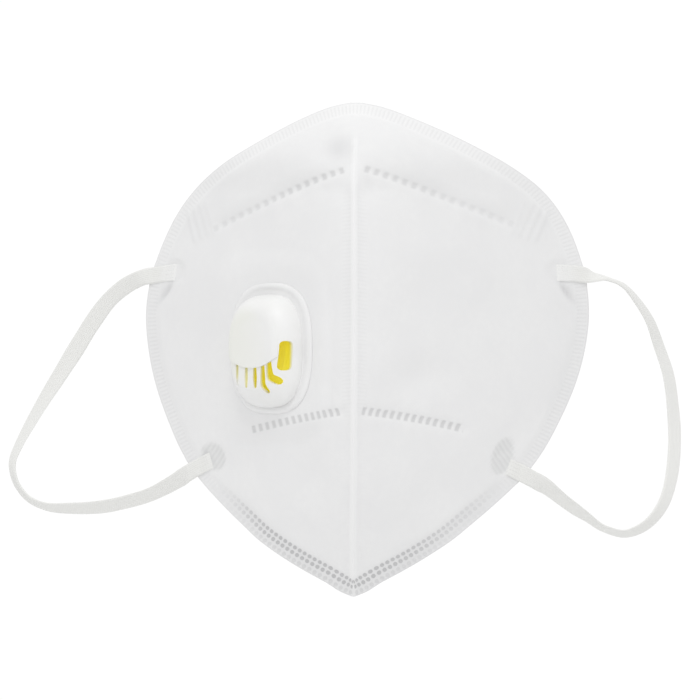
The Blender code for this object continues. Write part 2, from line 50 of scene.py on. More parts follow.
# ================================================================= the shell's form, as in the CAD part
OUTLINE = [
    (0.0, 80.0), (7.5, 78.9), (18.0, 75.0), (34.0, 67.2), (47.0, 59.4), (56.3, 51.5), (62.4, 43.2), (67.2, 32.8),
    (70.4, 21.5), (71.4, 11.5), (70.4, 0.5), (67.8, -10.7), (63.4, -22.3), (57.6, -34.0), (51.8, -42.0),
    (44.3, -49.8), (36.2, -57.3), (30.6, -62.2), (20.6, -69.0), (10.0, -75.0), (0.0, -80.0),
]
RIDGE = [(-80, 43), (-60, 56), (-40, 65), (-20, 70.5), (0, 72.5), (20, 72.5), (40, 70), (52, 66), (64, 59), (72, 52), (80, 44)]
SLOPE = [(-80, 0.44), (-65, 0.53), (-55, 0.65), (-45, 0.755), (-34, 0.85), (-18, 0.94), (-3, 0.98), (5, 0.99), (16, 1.01), (28, 1.04), (38, 1.05), (45, 1.035), (52, 1.0), (60, 0.965), (68, 0.9), (80, 0.8)]
CROWN, NOSE_R, SEAM_R = 0.60, 9.0, 0.8
VALVE_X, VALVE_Z = -29.0, 0.8


def table(points):
    x, y = (np.array(c, float) for c in zip(*points))
    h, d = np.diff(x), np.diff(y) / np.diff(x)
    m = np.concatenate([[d[0]], (d[:-1] + d[1:]) / 2, [d[-1]]])
    for i in range(len(d)):
        if i and d[i - 1] * d[i] <= 0:
            m[i] = 0.0
    for i in range(len(d)):
        if d[i] == 0:
            m[i] = m[i + 1] = 0.0
            continue
        a, b = m[i] / d[i], m[i + 1] / d[i]
        s = a * a + b * b
        if s > 9:
            m[i], m[i + 1] = 3 * a / math.sqrt(s) * d[i], 3 * b / math.sqrt(s) * d[i]

    def at(q):
        q = np.clip(np.asarray(q, float), x[0], x[-1])
        i = np.clip(np.searchsorted(x, q) - 1, 0, len(h) - 1)
        t = (q - x[i]) / h[i]
        return (
            (1 + 2 * t) * (1 - t) ** 2 * y[i]
            + t * (1 - t) ** 2 * h[i] * m[i]
            + t * t * (3 - 2 * t) * y[i + 1]
            + t * t * (t - 1) * h[i] * m[i + 1]
        )

    return at


def through(points, per=12):
    p = np.array(points, float)
    p = np.vstack([2 * p[0] - p[1], p, 2 * p[-1] - p[-2]])
    out = []
    for i in range(1, len(p) - 2):
        a, b, c, d = p[i - 1 : i + 3]
        k = [0.0]
        for q, r in ((a, b), (b, c), (c, d)):
            k.append(k[-1] + np.linalg.norm(r - q) ** 0.5)
        for t in np.linspace(k[1], k[2], per, endpoint=False):
            a1 = (k[1] - t) / (k[1] - k[0]) * a + (t - k[0]) / (k[1] - k[0]) * b
            a2 = (k[2] - t) / (k[2] - k[1]) * b + (t - k[1]) / (k[2] - k[1]) * c
            a3 = (k[3] - t) / (k[3] - k[2]) * c + (t - k[2]) / (k[3] - k[2]) * d
            b1 = (k[2] - t) / (k[2] - k[0]) * a1 + (t - k[0]) / (k[2] - k[0]) * a2
            b2 = (k[3] - t) / (k[3] - k[1]) * a2 + (t - k[1]) / (k[3] - k[1]) * a3
            out.append((k[2] - t) / (k[2] - k[1]) * b1 + (t - k[1]) / (k[2] - k[1]) * b2)
    return np.array(out + [p[-2]])


def evenly(line, n):
    along = np.concatenate([[0], np.cumsum(np.linalg.norm(np.diff(line, axis=0), axis=1))])
    at = np.linspace(0, along[-1], n)
    return np.stack([np.interp(at, along, line[:, k]) for k in range(line.shape[1])], axis=1)


def ramp(q, low, high):
    t = np.clip((np.asarray(q, float) - low) / (high - low), 0, 1)
    return t * t * (3 - 2 * t)


RIM = through([(-x, z) for x, z in OUTLINE[1:3]][::-1] + OUTLINE + [(-10.0, -75.0)], 14)
_a = int(np.argmin(np.abs(RIM[:, 0]) + np.abs(RIM[:, 1] - 80)))
_b = int(np.argmin(np.abs(RIM[:, 0]) + np.abs(RIM[:, 1] + 80)))
RIM = RIM[_a : _b + 1]
ridge, slope = table(RIDGE), table(SLOPE)


def half_width(z):
    return np.interp(-np.asarray(z, float), -RIM[:, 1], RIM[:, 0])


def top_edge(x):
    upper = RIM[RIM[:, 1] > 11.5]
    return np.interp(np.abs(x), upper[:, 0], upper[:, 1])


def plain(x, z):
    a = np.abs(np.asarray(x, float))
    r = SEAM_R + (NOSE_R - SEAM_R) * ramp(z, 50, 64)
    wide = np.hypot(half_width(z), 12.0)
    return -ridge(z) + slope(z) * (CROWN * (np.sqrt(a * a + r * r) - r) + (1 - CROWN) * a * a / wide)


_e = 9.0
VALVE_Y = float(plain(VALVE_X, VALVE_Z)) + 0.3
VALVE_GX = float(plain(VALVE_X + _e, VALVE_Z) - plain(VALVE_X - _e, VALVE_Z)) / (2 * _e)
VALVE_GZ = float(plain(VALVE_X, VALVE_Z + _e) - plain(VALVE_X, VALVE_Z - _e)) / (2 * _e)
N_AXIS = Vector((VALVE_GX, -1.0, VALVE_GZ)).normalized()
V_AXIS = (Vector((0, 0, 1)) - N_AXIS * N_AXIS.z).normalized()
U_AXIS = V_AXIS.cross(N_AXIS)
VALVE_AT = Vector((VALVE_X, VALVE_Y, VALVE_Z))


def valve_reach(x, z):
    return (np.abs((x - VALVE_X) / 15.6) ** 4 + np.abs((z - VALVE_Z) / 22.8) ** 4) ** 0.25


def surface(x, z):
    x, z = np.asarray(x, float), np.asarray(z, float)
    flat = VALVE_Y + VALVE_GX * (x - VALVE_X) + VALVE_GZ * (z - VALVE_Z)
    w = 1 - ramp(valve_reach(x, z), 1.0, 1.42)
    return plain(x, z) * (1 - w) + flat * w


def outward(x, z):
    e = 0.25
    x, z = np.asarray(x, float), np.asarray(z, float)
    gx = (surface(x + e, z) - surface(x - e, z)) / (2 * e)
    gz = (surface(x, z + e) - surface(x, z - e)) / (2 * e)
    n = np.stack([gx, -np.ones_like(gx), gz], axis=-1)
    return n / np.linalg.norm(n, axis=-1, keepdims=True)


def flush(x, z, depth):
    """Points a depth below the plain form."""
    x, z = np.broadcast_arrays(np.asarray(x, float), np.asarray(z, float))
    p = np.stack([x, surface(x, z), z], axis=-1)
    return p - outward(x, z) * np.asarray(depth, float)[..., None]


# The soft shell does not sit quite evenly: both tips hang a little towards the valve side
LEAN_RIM = table([(-80, -2.4), (-68, -2.3), (-55, -1.7), (-40, -1.1), (-29, -0.8), (-16, -0.5), (0, -0.2), (16, 0.0), (40, 0.6), (50, 0.7), (61, 0.1), (69, -0.4), (75, -1.2), (80, -1.6)])
LEAN_RIDGE = table([(-80, -2.35), (-60, -1.9), (-40, -1.2), (-15, -0.75), (0, -0.6), (25, -0.6), (45, -0.85), (60, -1.2), (72, -1.5), (80, -1.7)])


def lean(x, z):
    q = np.clip(np.abs(x) / np.maximum(half_width(z), 1.0), 0, 1)
    dx = LEAN_RIM(z) + (LEAN_RIDGE(z) - LEAN_RIM(z)) * (1 - q * q) + 0.017 * np.asarray(x, float)
    return dx * ramp(valve_reach(x, z), 1.0, 1.5)


def inside(x, z, depth):
    x, z = np.broadcast_arrays(np.asarray(x, float), np.asarray(z, float))
    p = flush(x, z, depth)
    p[..., 0] += lean(x, z)
    return p


def pocket(x, z):
    e = top_edge(x) - z
    return ramp(e, 0.8, 4.0) * (1 - ramp(e, 14.0, 19.0)) * (1 - ramp(np.abs(x), 45, 53))


# ================================================================= distances and relief on the front projection
RIM_ALONG = np.concatenate([[0], np.cumsum(np.linalg.norm(np.diff(RIM, axis=0), axis=1))])


def from_rim(x, z):
    """Distance to the rim and how far along it, both in the front projection."""
    p = np.stack([np.abs(np.ravel(x)), np.ravel(z)], axis=1)
    best = np.full(len(p), 1e9)
    along = np.zeros(len(p))
    for i in range(len(RIM) - 1):
        a, b = RIM[i], RIM[i + 1]
        ab = b - a
        t = np.clip(((p - a) @ ab) / (ab @ ab), 0, 1)
        d = np.linalg.norm(p - (a + t[:, None] * ab), axis=1)
        near = d < best
        best[near] = d[near]
        along[near] = (RIM_ALONG[i] + t * np.linalg.norm(ab))[near]
    return best.reshape(np.shape(x)), along.reshape(np.shape(x))


def nose_line(x):
    a = np.abs(x)
    return np.where(np.asarray(x) < 0, 59.2 - 0.345 * a - 0.00166 * a * a, 59.6 - 0.345 * a - 0.0012 * a * a)


def chin_line(x):
    a = np.abs(x)
    return -19.6 - 0.10 * a - 0.0024 * a * a


def bump(x, z, cx, cz, rx, rz, turn=0.0):
    c, s = math.cos(math.radians(turn)), math.sin(math.radians(turn))
    u, v = (x - cx) * c + (z - cz) * s, -(x - cx) * s + (z - cz) * c
    return np.exp(-((u / rx) ** 2) - (v / rz) ** 2)


RNG = np.random.default_rng(7)
WAVES = [(RNG.uniform(0, 2 * math.pi), 2 * math.pi / RNG.uniform(17, 52), RNG.uniform(0, 2 * math.pi), RNG.uniform(0.5, 1.0)) for _ in range(16)]
PADS = [(-46.9, -34.8, 4.0, 4.8, 35), (45.7, -34.6, 3.2, 6.2, -15)]  # welds over the lower strap ends
STRAP_ENDS = [((62.0, 25.0), (69.5, 24.4)), ((47.0, -37.9), (54.5, -42.0)), ((-61.6, 25.2), (-69.5, 24.2)), ((-49.2, -35.9), (-57.5, -40.2))]


def to_segment(x, z, a, b):
    ax, az = a
    bx, bz = b[0] - ax, b[1] - az
    t = np.clip(((x - ax) * bx + (z - az) * bz) / (bx * bx + bz * bz), 0, 1)
    return np.hypot(x - ax - t * bx, z - az - t * bz)


def undulation(x, z):
    s = np.zeros_like(np.asarray(x, float))
    for angle, k, phase, gain in WAVES:
        s += gain * np.sin(k * (x * math.cos(angle) + z * math.sin(angle)) + phase)
    return s / 4.0


def relief(x, z, d):
    """How far the cloth stands out of its plain form, in millimetres. It is nothing under the valve."""
    a = np.abs(x)
    free = ramp(valve_reach(x, z), 1.12, 1.5)
    inner = ramp(d, 3.5, 9.0)
    r = 0.34 * undulation(x, z) * inner * (0.35 + 0.65 * ramp(a, 3, 14))
    # nose band: puffed between its weld line and the edge
    line = z - nose_line(x)
    band = ramp(line, 0.5, 5) * ramp(d, 2.5, 6.5) * (1 - ramp(a, 42, 50))
    r += 0.55 * band
    r -= 0.62 * np.exp(-((line / 1.25) ** 2)) * ramp(a, 2.2, 4.5) * (1 - ramp(a, 44, 49))
    # small puckers that run off the weld lines
    r += 0.10 * np.sin(a * 2 * math.pi / 6.2 + 0.7 * np.sin(a / 5.0)) * np.exp(-(((line + 2.8) / 3.2) ** 2)) * ramp(a, 3, 7) * (1 - ramp(a, 42, 48))
    low = z - chin_line(x)
    r -= 0.50 * np.exp(-((low / 1.5) ** 2)) * ramp(a, 2.0, 4.0) * (1 - ramp(a, 32, 36))
    r += 0.10 * np.sin(a * 2 * math.pi / 5.4 + 1.0) * np.exp(-(((np.abs(low) - 3.4) / 2.6) ** 2)) * ramp(a, 3, 7) * (1 - ramp(a, 31, 36))
    # pressed edge
    r -= 0.42 * (1 - ramp(d, 3.2, 5.4))
    chin = (1 - ramp(z, -52, -40)) * ramp(d, 0.2, 1.0) * (1 - ramp(d, 5.0, 7.4))
    r -= 0.30 * chin
    # welded corners beside the nose band
    for i in (-1, 0, 1):
        u = (a - 53.0) * math.cos(math.radians(70)) + (z - 41.2) * math.sin(math.radians(70))
        v = -(a - 53.0) * math.sin(math.radians(70)) + (z - 41.2) * math.cos(math.radians(70))
        r += 0.30 * np.exp(-(((v - 2.9 * i) / 0.85) ** 2)) * (1 - ramp(np.abs(u), 4.2, 7.0))
    # the strap ends pull a hollow into the cloth
    for side in (-1, 1):
        r -= 1.1 * bump(x, z, side * 64.6, 18.6, 1.2, 4.4, side * 36)
        r += 0.45 * bump(x, z, side * 60.5, 15.0, 3.4, 7.0, side * 25)
    for cx, cz, rx, rz, turn in PADS:
        r -= 0.55 * bump(x, z, cx, cz, rx, rz, turn)
        r += 0.25 * bump(x, z, cx - math.copysign(8.0, cx), cz + 3, 5.0, 8.0, turn)
    for a0, b0 in STRAP_ENDS:
        w = 1 - ramp(to_segment(x, z, a0, b0), 3.0, 4.6)
        r = r * (1 - w) - 0.30 * w
    # front seam: a fine bead with a pressed margin on each side
    seam = 1 - ramp(z, 65, 70)
    r += 0.50 * np.exp(-((x / 0.75) ** 2)) * seam
    r -= 0.22 * np.exp(-(((a - 2.4) / 1.5) ** 2)) * seam
    # where the seam stops the cloth folds over the nose
    r -= 1.6 * bump(x, z, -5.5, 64.0, 5.0, 4.2, 28) * ramp(d, 3, 8)
    r += 0.60 * bump(x, z, 9.0, 66.0, 8.0, 5.0, -20) * ramp(d, 3, 8)
    r -= 0.75 * bump(x, z, 4.6, 53.0, 3.0, 4.6, 0)
    r -= 0.45 * bump(x, z, -4.4, 51.0, 3.0, 5.0, 0)
    # the flatter patch of the left cheek above the chin line, and the soft hollows of both
    r -= 1.10 * bump(x, z, 21.0, -9.0, 9.0, 6.5, -6)
    r += 0.65 * bump(x, z, 9.0, 16.0, 5.5, 17.0, 4)
    r -= 0.60 * bump(x, z, 43.0, 12.0, 9.0, 14.0, 20)
    r -= 0.50 * bump(x, z, -14.0, -42.0, 6.0, 10.0, 35)
    r += 0.45 * bump(x, z, 16.0, -40.0, 7.0, 13.0, -28)
    return r * free


# ================================================================= mesh helpers
def new(name, points, faces, look, smooth=True):
    mesh = bpy.data.meshes.new(name)
    mesh.from_pydata((np.asarray(points, float) * MM).tolist(), [], faces)
    mesh.validate()
    if isinstance(look, (list, tuple)):
        for m in look:
            mesh.materials.append(m)
    else:
        mesh.materials.append(look)
    if smooth:
        mesh.shade_smooth()
    obj = bpy.data.objects.new(name, mesh)
    bpy.context.scene.collection.objects.link(obj)
    return obj


def attribute(obj, name, values):
    a = obj.data.attributes.new(name, "FLOAT", "POINT")
    a.data.foreach_set("value", np.asarray(values, np.float32).ravel())


def sheet_solid(name, top, low, look, keep=None, sharp=40):
    """A closed sheet between two grids of points (rows, columns, 3). keep says which cells are there."""
    rows, cols = top.shape[:2]
    k = rows * cols
    if keep is None:
        keep = np.ones((rows - 1, cols - 1), bool)
    idx = np.arange(k).reshape(rows, cols)
    a, b, c, d = idx[:-1, :-1][keep], idx[:-1, 1:][keep], idx[1:, 1:][keep], idx[1:, :-1][keep]
    quads = np.stack([a, b, c, d], axis=1)
    used = {}
    for q in quads.tolist():
        for i in range(4):
            e = (q[i], q[(i + 1) % 4])
            if (e[1], e[0]) in used:
                del used[(e[1], e[0])]
            else:
                used[e] = True
    faces = quads.tolist() + (quads[:, ::-1] + k).tolist()
    faces += [(e[1], e[0], e[0] + k, e[1] + k) for e in used]
    points = np.concatenate([top.reshape(-1, 3), low.reshape(-1, 3)])
    p = points[quads[:, :3]]
    normal = np.cross(p[:, 1] - p[:, 0], p[:, 2] - p[:, 0]).sum(axis=0)
    mean = (top - low).reshape(-1, 3).mean(axis=0)
    if normal @ mean < 0:
        faces = [f[::-1] for f in faces]
    obj = new(name, points, faces, look)
    obj.data.set_sharp_from_angle(angle=math.radians(sharp))
    return obj


def drop_loose(obj):
    """Takes out points that no face uses."""
    mesh = obj.data
    used = np.zeros(len(mesh.vertices), bool)
    loops = np.zeros(len(mesh.loops), int)
    mesh.loops.foreach_get("vertex_index", loops)
    used[loops] = True
    if used.all():
        return obj
    import bmesh

    bm = bmesh.new()
    bm.from_mesh(mesh)
    bm.verts.ensure_lookup_table()
    bmesh.ops.delete(bm, geom=[v for v in bm.verts if not used[v.index]], context="VERTS")
    bm.to_mesh(mesh)
    bm.free()
    return obj


# ================================================================= materials
def material(name, color, rough, metal=0.0, **more):
    m = bpy.data.materials.new(name)
    m.use_nodes = True
    b = m.node_tree.nodes["Principled BSDF"]
    b.inputs["Base Color"].default_value = (*color, 1)
    b.inputs["Roughness"].default_value = rough
    b.inputs["Metallic"].default_value = metal
    for key, value in more.items():
        b.inputs[key.replace("_", " ")].default_value = value
    return m


class Nodes:
    """Short words for the shader nodes that the materials below are made of."""

    def __init__(self, m):
        self.t = m.node_tree
        self.out = m.node_tree.nodes["Principled BSDF"]

    def put(self, socket, value):
        if isinstance(value, bpy.types.NodeSocket):
            self.t.links.new(value, socket)
        elif isinstance(value, (tuple, list)) and len(value) == 3 and len(socket.default_value) == 4:
            socket.default_value = (*value, 1)
        else:
            socket.default_value = value

    def math(self, op, a, b=None, c=None, clamp=False):
        n = self.t.nodes.new("ShaderNodeMath")
        n.operation, n.use_clamp = op, clamp
        for i, v in enumerate((a, b, c)):
            if v is not None:
                self.put(n.inputs[i], v)
        return n.outputs[0]

    def attr(self, name):
        n = self.t.nodes.new("ShaderNodeAttribute")
        n.attribute_name = name
        return n.outputs["Fac"]

    def place(self):
        return self.t.nodes.new("ShaderNodeTexCoord").outputs["Object"]

    def scaled(self, vector, scale):
        n = self.t.nodes.new("ShaderNodeMapping")
        self.put(n.inputs["Vector"], vector)
        n.inputs["Scale"].default_value = scale
        return n.outputs[0]

    def noise(self, vector, scale, detail=3.0, rough=0.6, distort=0.0):
        n = self.t.nodes.new("ShaderNodeTexNoise")
        self.put(n.inputs["Vector"], vector)
        n.inputs["Scale"].default_value = scale
        n.inputs["Detail"].default_value = detail
        n.inputs["Roughness"].default_value = rough
        n.inputs["Distortion"].default_value = distort
        return n.outputs[0]

    def voronoi(self, vector, scale, feature="F1", out="Distance"):
        n = self.t.nodes.new("ShaderNodeTexVoronoi")
        n.feature = feature
        self.put(n.inputs["Vector"], vector)
        n.inputs["Scale"].default_value = scale
        return n.outputs[out]

    def span(self, v, a, b, c=0.0, d=1.0, smooth=True):
        n = self.t.nodes.new("ShaderNodeMapRange")
        n.interpolation_type = "SMOOTHSTEP" if smooth else "LINEAR"
        self.put(n.inputs["Value"], v)
        for key, value in (("From Min", a), ("From Max", b), ("To Min", c), ("To Max", d)):
            n.inputs[key].default_value = value
        return n.outputs[0]

    def mix(self, fac, a, b):
        n = self.t.nodes.new("ShaderNodeMix")
        n.data_type = "RGBA"
        self.put(n.inputs[0], fac)
        self.put(n.inputs[6], a)
        self.put(n.inputs[7], b)
        return n.outputs[2]

    def bump(self, height, distance, strength=1.0, after=None):
        n = self.t.nodes.new("ShaderNodeBump")
        n.inputs["Strength"].default_value = strength
        n.inputs["Distance"].default_value = distance
        self.put(n.inputs["Height"], height)
        if after is not None:
            self.put(n.inputs["Normal"], after)
        return n.outputs[0]

    def wave(self, v, pitch, duty, soft=0.12):
        """1 for a share of every pitch along v, with soft sides."""
        f = self.math("FRACT", self.math("DIVIDE", v, pitch))
        up = self.span(f, 0.5 - duty / 2 - soft, 0.5 - duty / 2 + soft)
        down = self.span(f, 0.5 + duty / 2 - soft, 0.5 + duty / 2 + soft, 1, 0)
        return self.math("MULTIPLY", up, down)

    def between(self, v, a, b, soft=0.25):
        return self.math("MULTIPLY", self.span(v, a - soft, a + soft), self.span(v, b - soft, b + soft, 1, 0))

    def mul(self, *v):
        r = v[0]
        for w in v[1:]:
            r = self.math("MULTIPLY", r, w)
        return r

    def add(self, *v):
        r = v[0]
        for w in v[1:]:
            r = self.math("ADD", r, w)
        return r

    def most(self, *v):
        r = v[0]
        for w in v[1:]:
            r = self.math("MAXIMUM", r, w)
        return r


def fibre_height(n, place, coarse=1.0):
    """Fine random fibres of a spunbond web."""
    long_way = n.noise(n.scaled(place, (420, 420, 1900)), 1.0, 4.0, 0.65, 1.2)
    cross_way = n.noise(n.scaled(place, (1900, 1900, 420)), 1.0, 4.0, 0.65, 1.2)
    fine = n.noise(place, 1600.0 * coarse, 4.0, 0.7)
    return n.add(n.mul(n.add(long_way, cross_way), 0.35), n.mul(fine, 0.3))


def make_web():
    """The outer web: spunbond with all of its weld marks, which follow attributes laid down in millimetres."""
    m = material("web_white", (0.80, 0.80, 0.80), 0.86)
    n = Nodes(m)
    place = n.place()
    x, z = n.attr("x_mm"), n.attr("z_mm")
    side = n.attr("a_mm")
    d, s = n.attr("rim_d"), n.attr("rim_s")
    top, low = n.attr("nose_d"), n.attr("chin_d")

    # perpendicular ticks right round the edge, down to where the chin dots start
    chin_on = n.span(z, -50.0, -38.0, 1, 0)
    ticks = n.mul(n.wave(s, 1.32, 0.44, 0.14), n.between(d, 0.7, 3.7, 0.3), n.math("SUBTRACT", 1.0, chin_on))
    # three rows of round dots along both chin edges
    row = n.math("SUBTRACT", n.math("FRACT", n.math("DIVIDE", n.math("SUBTRACT", d, 0.05), 1.95)), 0.5)
    step = n.math("SUBTRACT", n.math("FRACT", n.math("DIVIDE", s, 1.95)), 0.5)
    far = n.mul(n.math("SQRT", n.add(n.mul(row, row), n.mul(step, step))), 1.95)
    dots = n.mul(n.span(far, 0.52, 0.84, 1, 0), n.span(d, 1.7, 2.2, 0.30, 1.0), n.span(d, 5.7, 6.0, 1, 0), n.span(z, -54.0, -42.0, 1, 0), n.span(x, -41.0, -26.0, 0.25, 1), n.span(x, 8.0, 38.0, 1, 0.25))
    chin_band = n.mul(n.span(d, 4.9, 6.6, 1, 0), n.span(z, -54.0, -42.0, 1, 0))
    # square dots under the nose band
    nose = n.mul(n.wave(n.attr("nose_s"), 3.12, 0.50, 0.17), n.between(top, -0.95, 0.95, 0.45), n.between(side, 3.0, 49.0, 0.4))
    nose = n.mul(nose, n.span(side, 8.0, 46.0, 0.86, 0.38), n.span(x, -2.0, 16.0, 1.0, 0.74))
    # slanted dashes above the chin
    tilt = n.math("MULTIPLY_ADD", low, -0.34, n.attr("chin_s"))
    dash = n.mul(n.wave(tilt, 2.22, 0.50, 0.14), n.between(low, -1.25, 1.25, 0.30), n.between(n.attr("chin_a"), 2.6, 33.3, 0.4))
    # level hatch beside the front seam, strongest over its middle
    hatch = n.mul(n.wave(n.add(z, n.mul(side, 0.14)), 1.28, 0.42, 0.16), n.between(side, 0.9, 3.9, 0.45), n.span(z, 56.0, 44.0, 0, 1), n.span(z, -26.0, -14.0, 0.25, 1))
    # ovals that weld the lower strap ends
    pads = n.mul(n.attr("pad"), n.wave(n.add(n.mul(side, 0.85), n.mul(z, 0.55)), 1.45, 0.5, 0.16))
    corner = n.mul(n.attr("corner"), n.wave(n.attr("corner_v"), 2.45, 0.5, 0.2))

    marks = n.most(n.mul(ticks, 0.21), dots, n.mul(nose, 1.0), n.mul(dash, 1.0), n.mul(hatch, 0.11), n.mul(pads, 0.34), n.mul(corner, 0.15))
    cloud = n.noise(place, 55.0, 3.0, 0.55)
    patch = n.noise(place, 420.0, 4.0, 0.6)
    base = n.mix(n.span(cloud, 0.3, 0.7), (0.845, 0.845, 0.848), (0.868, 0.868, 0.868))
    base = n.mix(n.span(patch, 0.25, 0.75), n.mix(0.5, base, (0.835, 0.835, 0.84)), base)
    # the pressed edge over the upper cheeks and the front bead are made lighter in colour
    base = n.mix(n.mul(n.span(d, 3.4, 5.2, 0.45, 0), n.span(z, 5, 45)), base, (0.91, 0.91, 0.91))
    base = n.mix(n.span(d, 0.15, 0.5, 0.30, 0), base, (0.66, 0.66, 0.66))
    base = n.mix(n.mul(n.span(side, 0.7, 1.5, 0.75, 0), n.span(z, 66, 69, 1, 0)), base, (0.91, 0.91, 0.91))
    base = n.mix(n.mul(n.attr("pad"), 0.50), base, (0.70, 0.705, 0.70))
    # painted shade: the folds and dents by the nose seam and under the strap ends are darkened in colour where shade
    # falls
    base = n.mix(n.attr("painted_crease_shade"), base, (0.56, 0.56, 0.57))
    base = n.mix(n.mul(marks, 0.68), base, (0.60, 0.60, 0.605))
    base = n.mix(n.mul(chin_band, 0.22), base, (0.66, 0.66, 0.67))
    base = n.mix(n.mul(dots, 0.42), base, (0.40, 0.40, 0.41))
    n.put(n.out.inputs["Base Color"], base)
    n.put(n.out.inputs["Roughness"], n.span(marks, 0.0, 1.0, 0.88, 0.6))
    n.out.inputs["Sheen Weight"].default_value = 0.10
    n.out.inputs["Sheen Roughness"].default_value = 0.5
    n.out.inputs["Specular IOR Level"].default_value = 0.25
    fibres = n.bump(fibre_height(n, place), 0.00006, 0.5)
    pressed = n.bump(marks, 0.00013, 0.8, fibres)
    n.t.nodes[-1].invert = True
    n.put(n.out.inputs["Normal"], pressed)
    return m


def make_lining():
    m = material("lining_white", (0.86, 0.86, 0.86), 0.9)
    n = Nodes(m)
    place = n.place()
    cell = n.voronoi(n.scaled(place, (1, 1, 1)), 640.0)
    bond = n.span(cell, 0.12, 0.34, 1, 0)
    ticks = n.mul(n.wave(n.attr("rim_s"), 1.32, 0.44, 0.14), n.between(n.attr("rim_d"), 0.7, 3.7, 0.3))
    cloud = n.noise(place, 60.0, 3.0, 0.6)
    base = n.mix(n.span(cloud, 0.3, 0.7), (0.84, 0.84, 0.84), (0.875, 0.875, 0.87))
    base = n.mix(n.mul(bond, 0.35), base, (0.72, 0.72, 0.725))
    base = n.mix(n.mul(ticks, 0.4), base, (0.66, 0.66, 0.66))
    n.put(n.out.inputs["Base Color"], base)
    n.put(n.out.inputs["Roughness"], n.span(bond, 0.0, 1.0, 0.92, 0.7))
    n.out.inputs["Sheen Weight"].default_value = 0.25
    n.out.inputs["Sheen Roughness"].default_value = 0.6
    fibres = n.bump(fibre_height(n, place, 0.8), 0.00007, 0.5)
    pressed = n.bump(n.most(bond, n.mul(ticks, 0.5)), 0.00008, 0.7, fibres)
    n.t.nodes[-1].invert = True
    n.put(n.out.inputs["Normal"], pressed)
    return m


def make_felt(name, color, scale):
    m = material(name, color, 0.95)
    n = Nodes(m)
    place = n.place()
    h = n.noise(place, scale, 6.0, 0.7, 1.5)
    n.put(n.out.inputs["Base Color"], n.mix(n.span(h, 0.3, 0.7), tuple(c * 0.9 for c in color), color))
    n.out.inputs["Sheen Weight"].default_value = 0.3
    n.put(n.out.inputs["Normal"], n.bump(h, 0.0003, 0.8))
    return m


def make_plastic(name, low, high, rough=0.34):
    """Moulded polypropylene: semi-matt, a little uneven, faint flow lines."""
    m = material(name, high, rough)
    n = Nodes(m)
    place = n.place()
    grain = n.noise(place, 2600.0, 3.0, 0.5)
    flow = n.noise(place, 90.0, 2.0, 0.5, 0.4)
    tone = n.mix(n.span(flow, 0.3, 0.7), low, high)
    tone = n.mix(n.attr("cream"), tone, (0.865, 0.87, 0.825))
    # painted light: yellow from the flap laid into the colour of the walls facing it
    n.put(n.out.inputs["Base Color"], n.mix(n.attr("painted_flap_light"), tone, (0.95, 0.86, 0.08)))
    n.put(n.out.inputs["Roughness"], n.span(n.add(n.mul(flow, 0.7), n.mul(grain, 0.3)), 0.3, 0.7, rough - 0.05, rough + 0.07))
    n.out.inputs["Specular IOR Level"].default_value = 0.5
    n.out.inputs["Subsurface Weight"].default_value = 0.0
    n.put(n.out.inputs["Normal"], n.bump(n.add(n.mul(grain, 0.5), flow), 0.00004, 0.5))
    return m


def make_silicone():
    m = material("flap_yellow", (0.90, 0.81, 0.07), 0.42)
    n = Nodes(m)
    place = n.place()
    h = n.noise(place, 300.0, 3.0, 0.5)
    n.put(n.out.inputs["Base Color"], n.mix(n.span(h, 0.3, 0.7), (0.88, 0.79, 0.06), (0.92, 0.84, 0.08)))
    n.put(n.out.inputs["Roughness"], n.span(h, 0.3, 0.7, 0.38, 0.5))
    # painted light: a faint yellow emission makes the flap look lit through the cover, though it is no lamp
    n.out.inputs["Emission Color"].default_value = (0.85, 0.745, 0.055, 1)
    n.out.inputs["Emission Strength"].default_value = 0.30
    n.put(n.out.inputs["Normal"], n.bump(h, 0.00003, 0.5))
    return m


def make_elastic():
    """Flat knitted elastic: ribs along the band, small stitches across it."""
    m = material("elastic_white", (0.82, 0.82, 0.80), 0.85)
    n = Nodes(m)
    along, across = n.attr("band_s"), n.attr("band_u")
    rib = n.math("ABSOLUTE", n.math("SINE", n.mul(across, math.pi / 0.62)))
    shift = n.mul(n.math("FRACT", n.math("DIVIDE", across, 1.24)), 0.9)
    stitch = n.wave(n.add(along, shift), 0.9, 0.5, 0.2)
    welds = n.mul(n.attr("weld"), n.wave(along, 1.3, 0.5, 0.12), n.wave(n.add(across, 0.1), 1.25, 0.5, 0.12))
    hair = n.noise(n.place(), 2400.0, 3.0, 0.7)
    # painted shade: the grooves between the ribs and the gaps between the stitches are darkened in colour
    base = n.mix(n.mul(n.span(rib, 0.05, 0.5, 1, 0), 0.28), (0.865, 0.865, 0.845), (0.74, 0.74, 0.72))
    base = n.mix(n.mul(n.math("SUBTRACT", 1.0, stitch), 0.13), base, (0.72, 0.72, 0.70))
    base = n.mix(n.mul(welds, 0.16), base, (0.70, 0.70, 0.69))
    base = n.mix(n.attr("tied"), base, (0.885, 0.885, 0.88))
    n.put(n.out.inputs["Base Color"], base)
    n.out.inputs["Sheen Weight"].default_value = 0.2
    n.out.inputs["Specular IOR Level"].default_value = 0.2
    height = n.add(n.mul(rib, 0.6), n.mul(stitch, 0.35), n.mul(hair, 0.2), n.mul(welds, -1.0))
    n.put(n.out.inputs["Normal"], n.bump(height, 0.00007, 0.8))
    return m


def make_foam():
    m = material("foam_grey", (0.30, 0.30, 0.31), 0.95)
    n = Nodes(m)
    place = n.place()
    pores = n.voronoi(place, 1500.0)
    big = n.voronoi(place, 700.0)
    holes = n.most(n.span(pores, 0.10, 0.42, 1, 0), n.mul(n.span(big, 0.05, 0.3, 1, 0), 0.8))
    # painted shade: the pores are darkened in colour, for the shade that falls in them
    n.put(n.out.inputs["Base Color"], n.mix(holes, (0.46, 0.46, 0.475), (0.19, 0.19, 0.20)))
    n.put(n.out.inputs["Normal"], n.bump(n.math("SUBTRACT", 1.0, holes), 0.0004, 0.9))
    return m


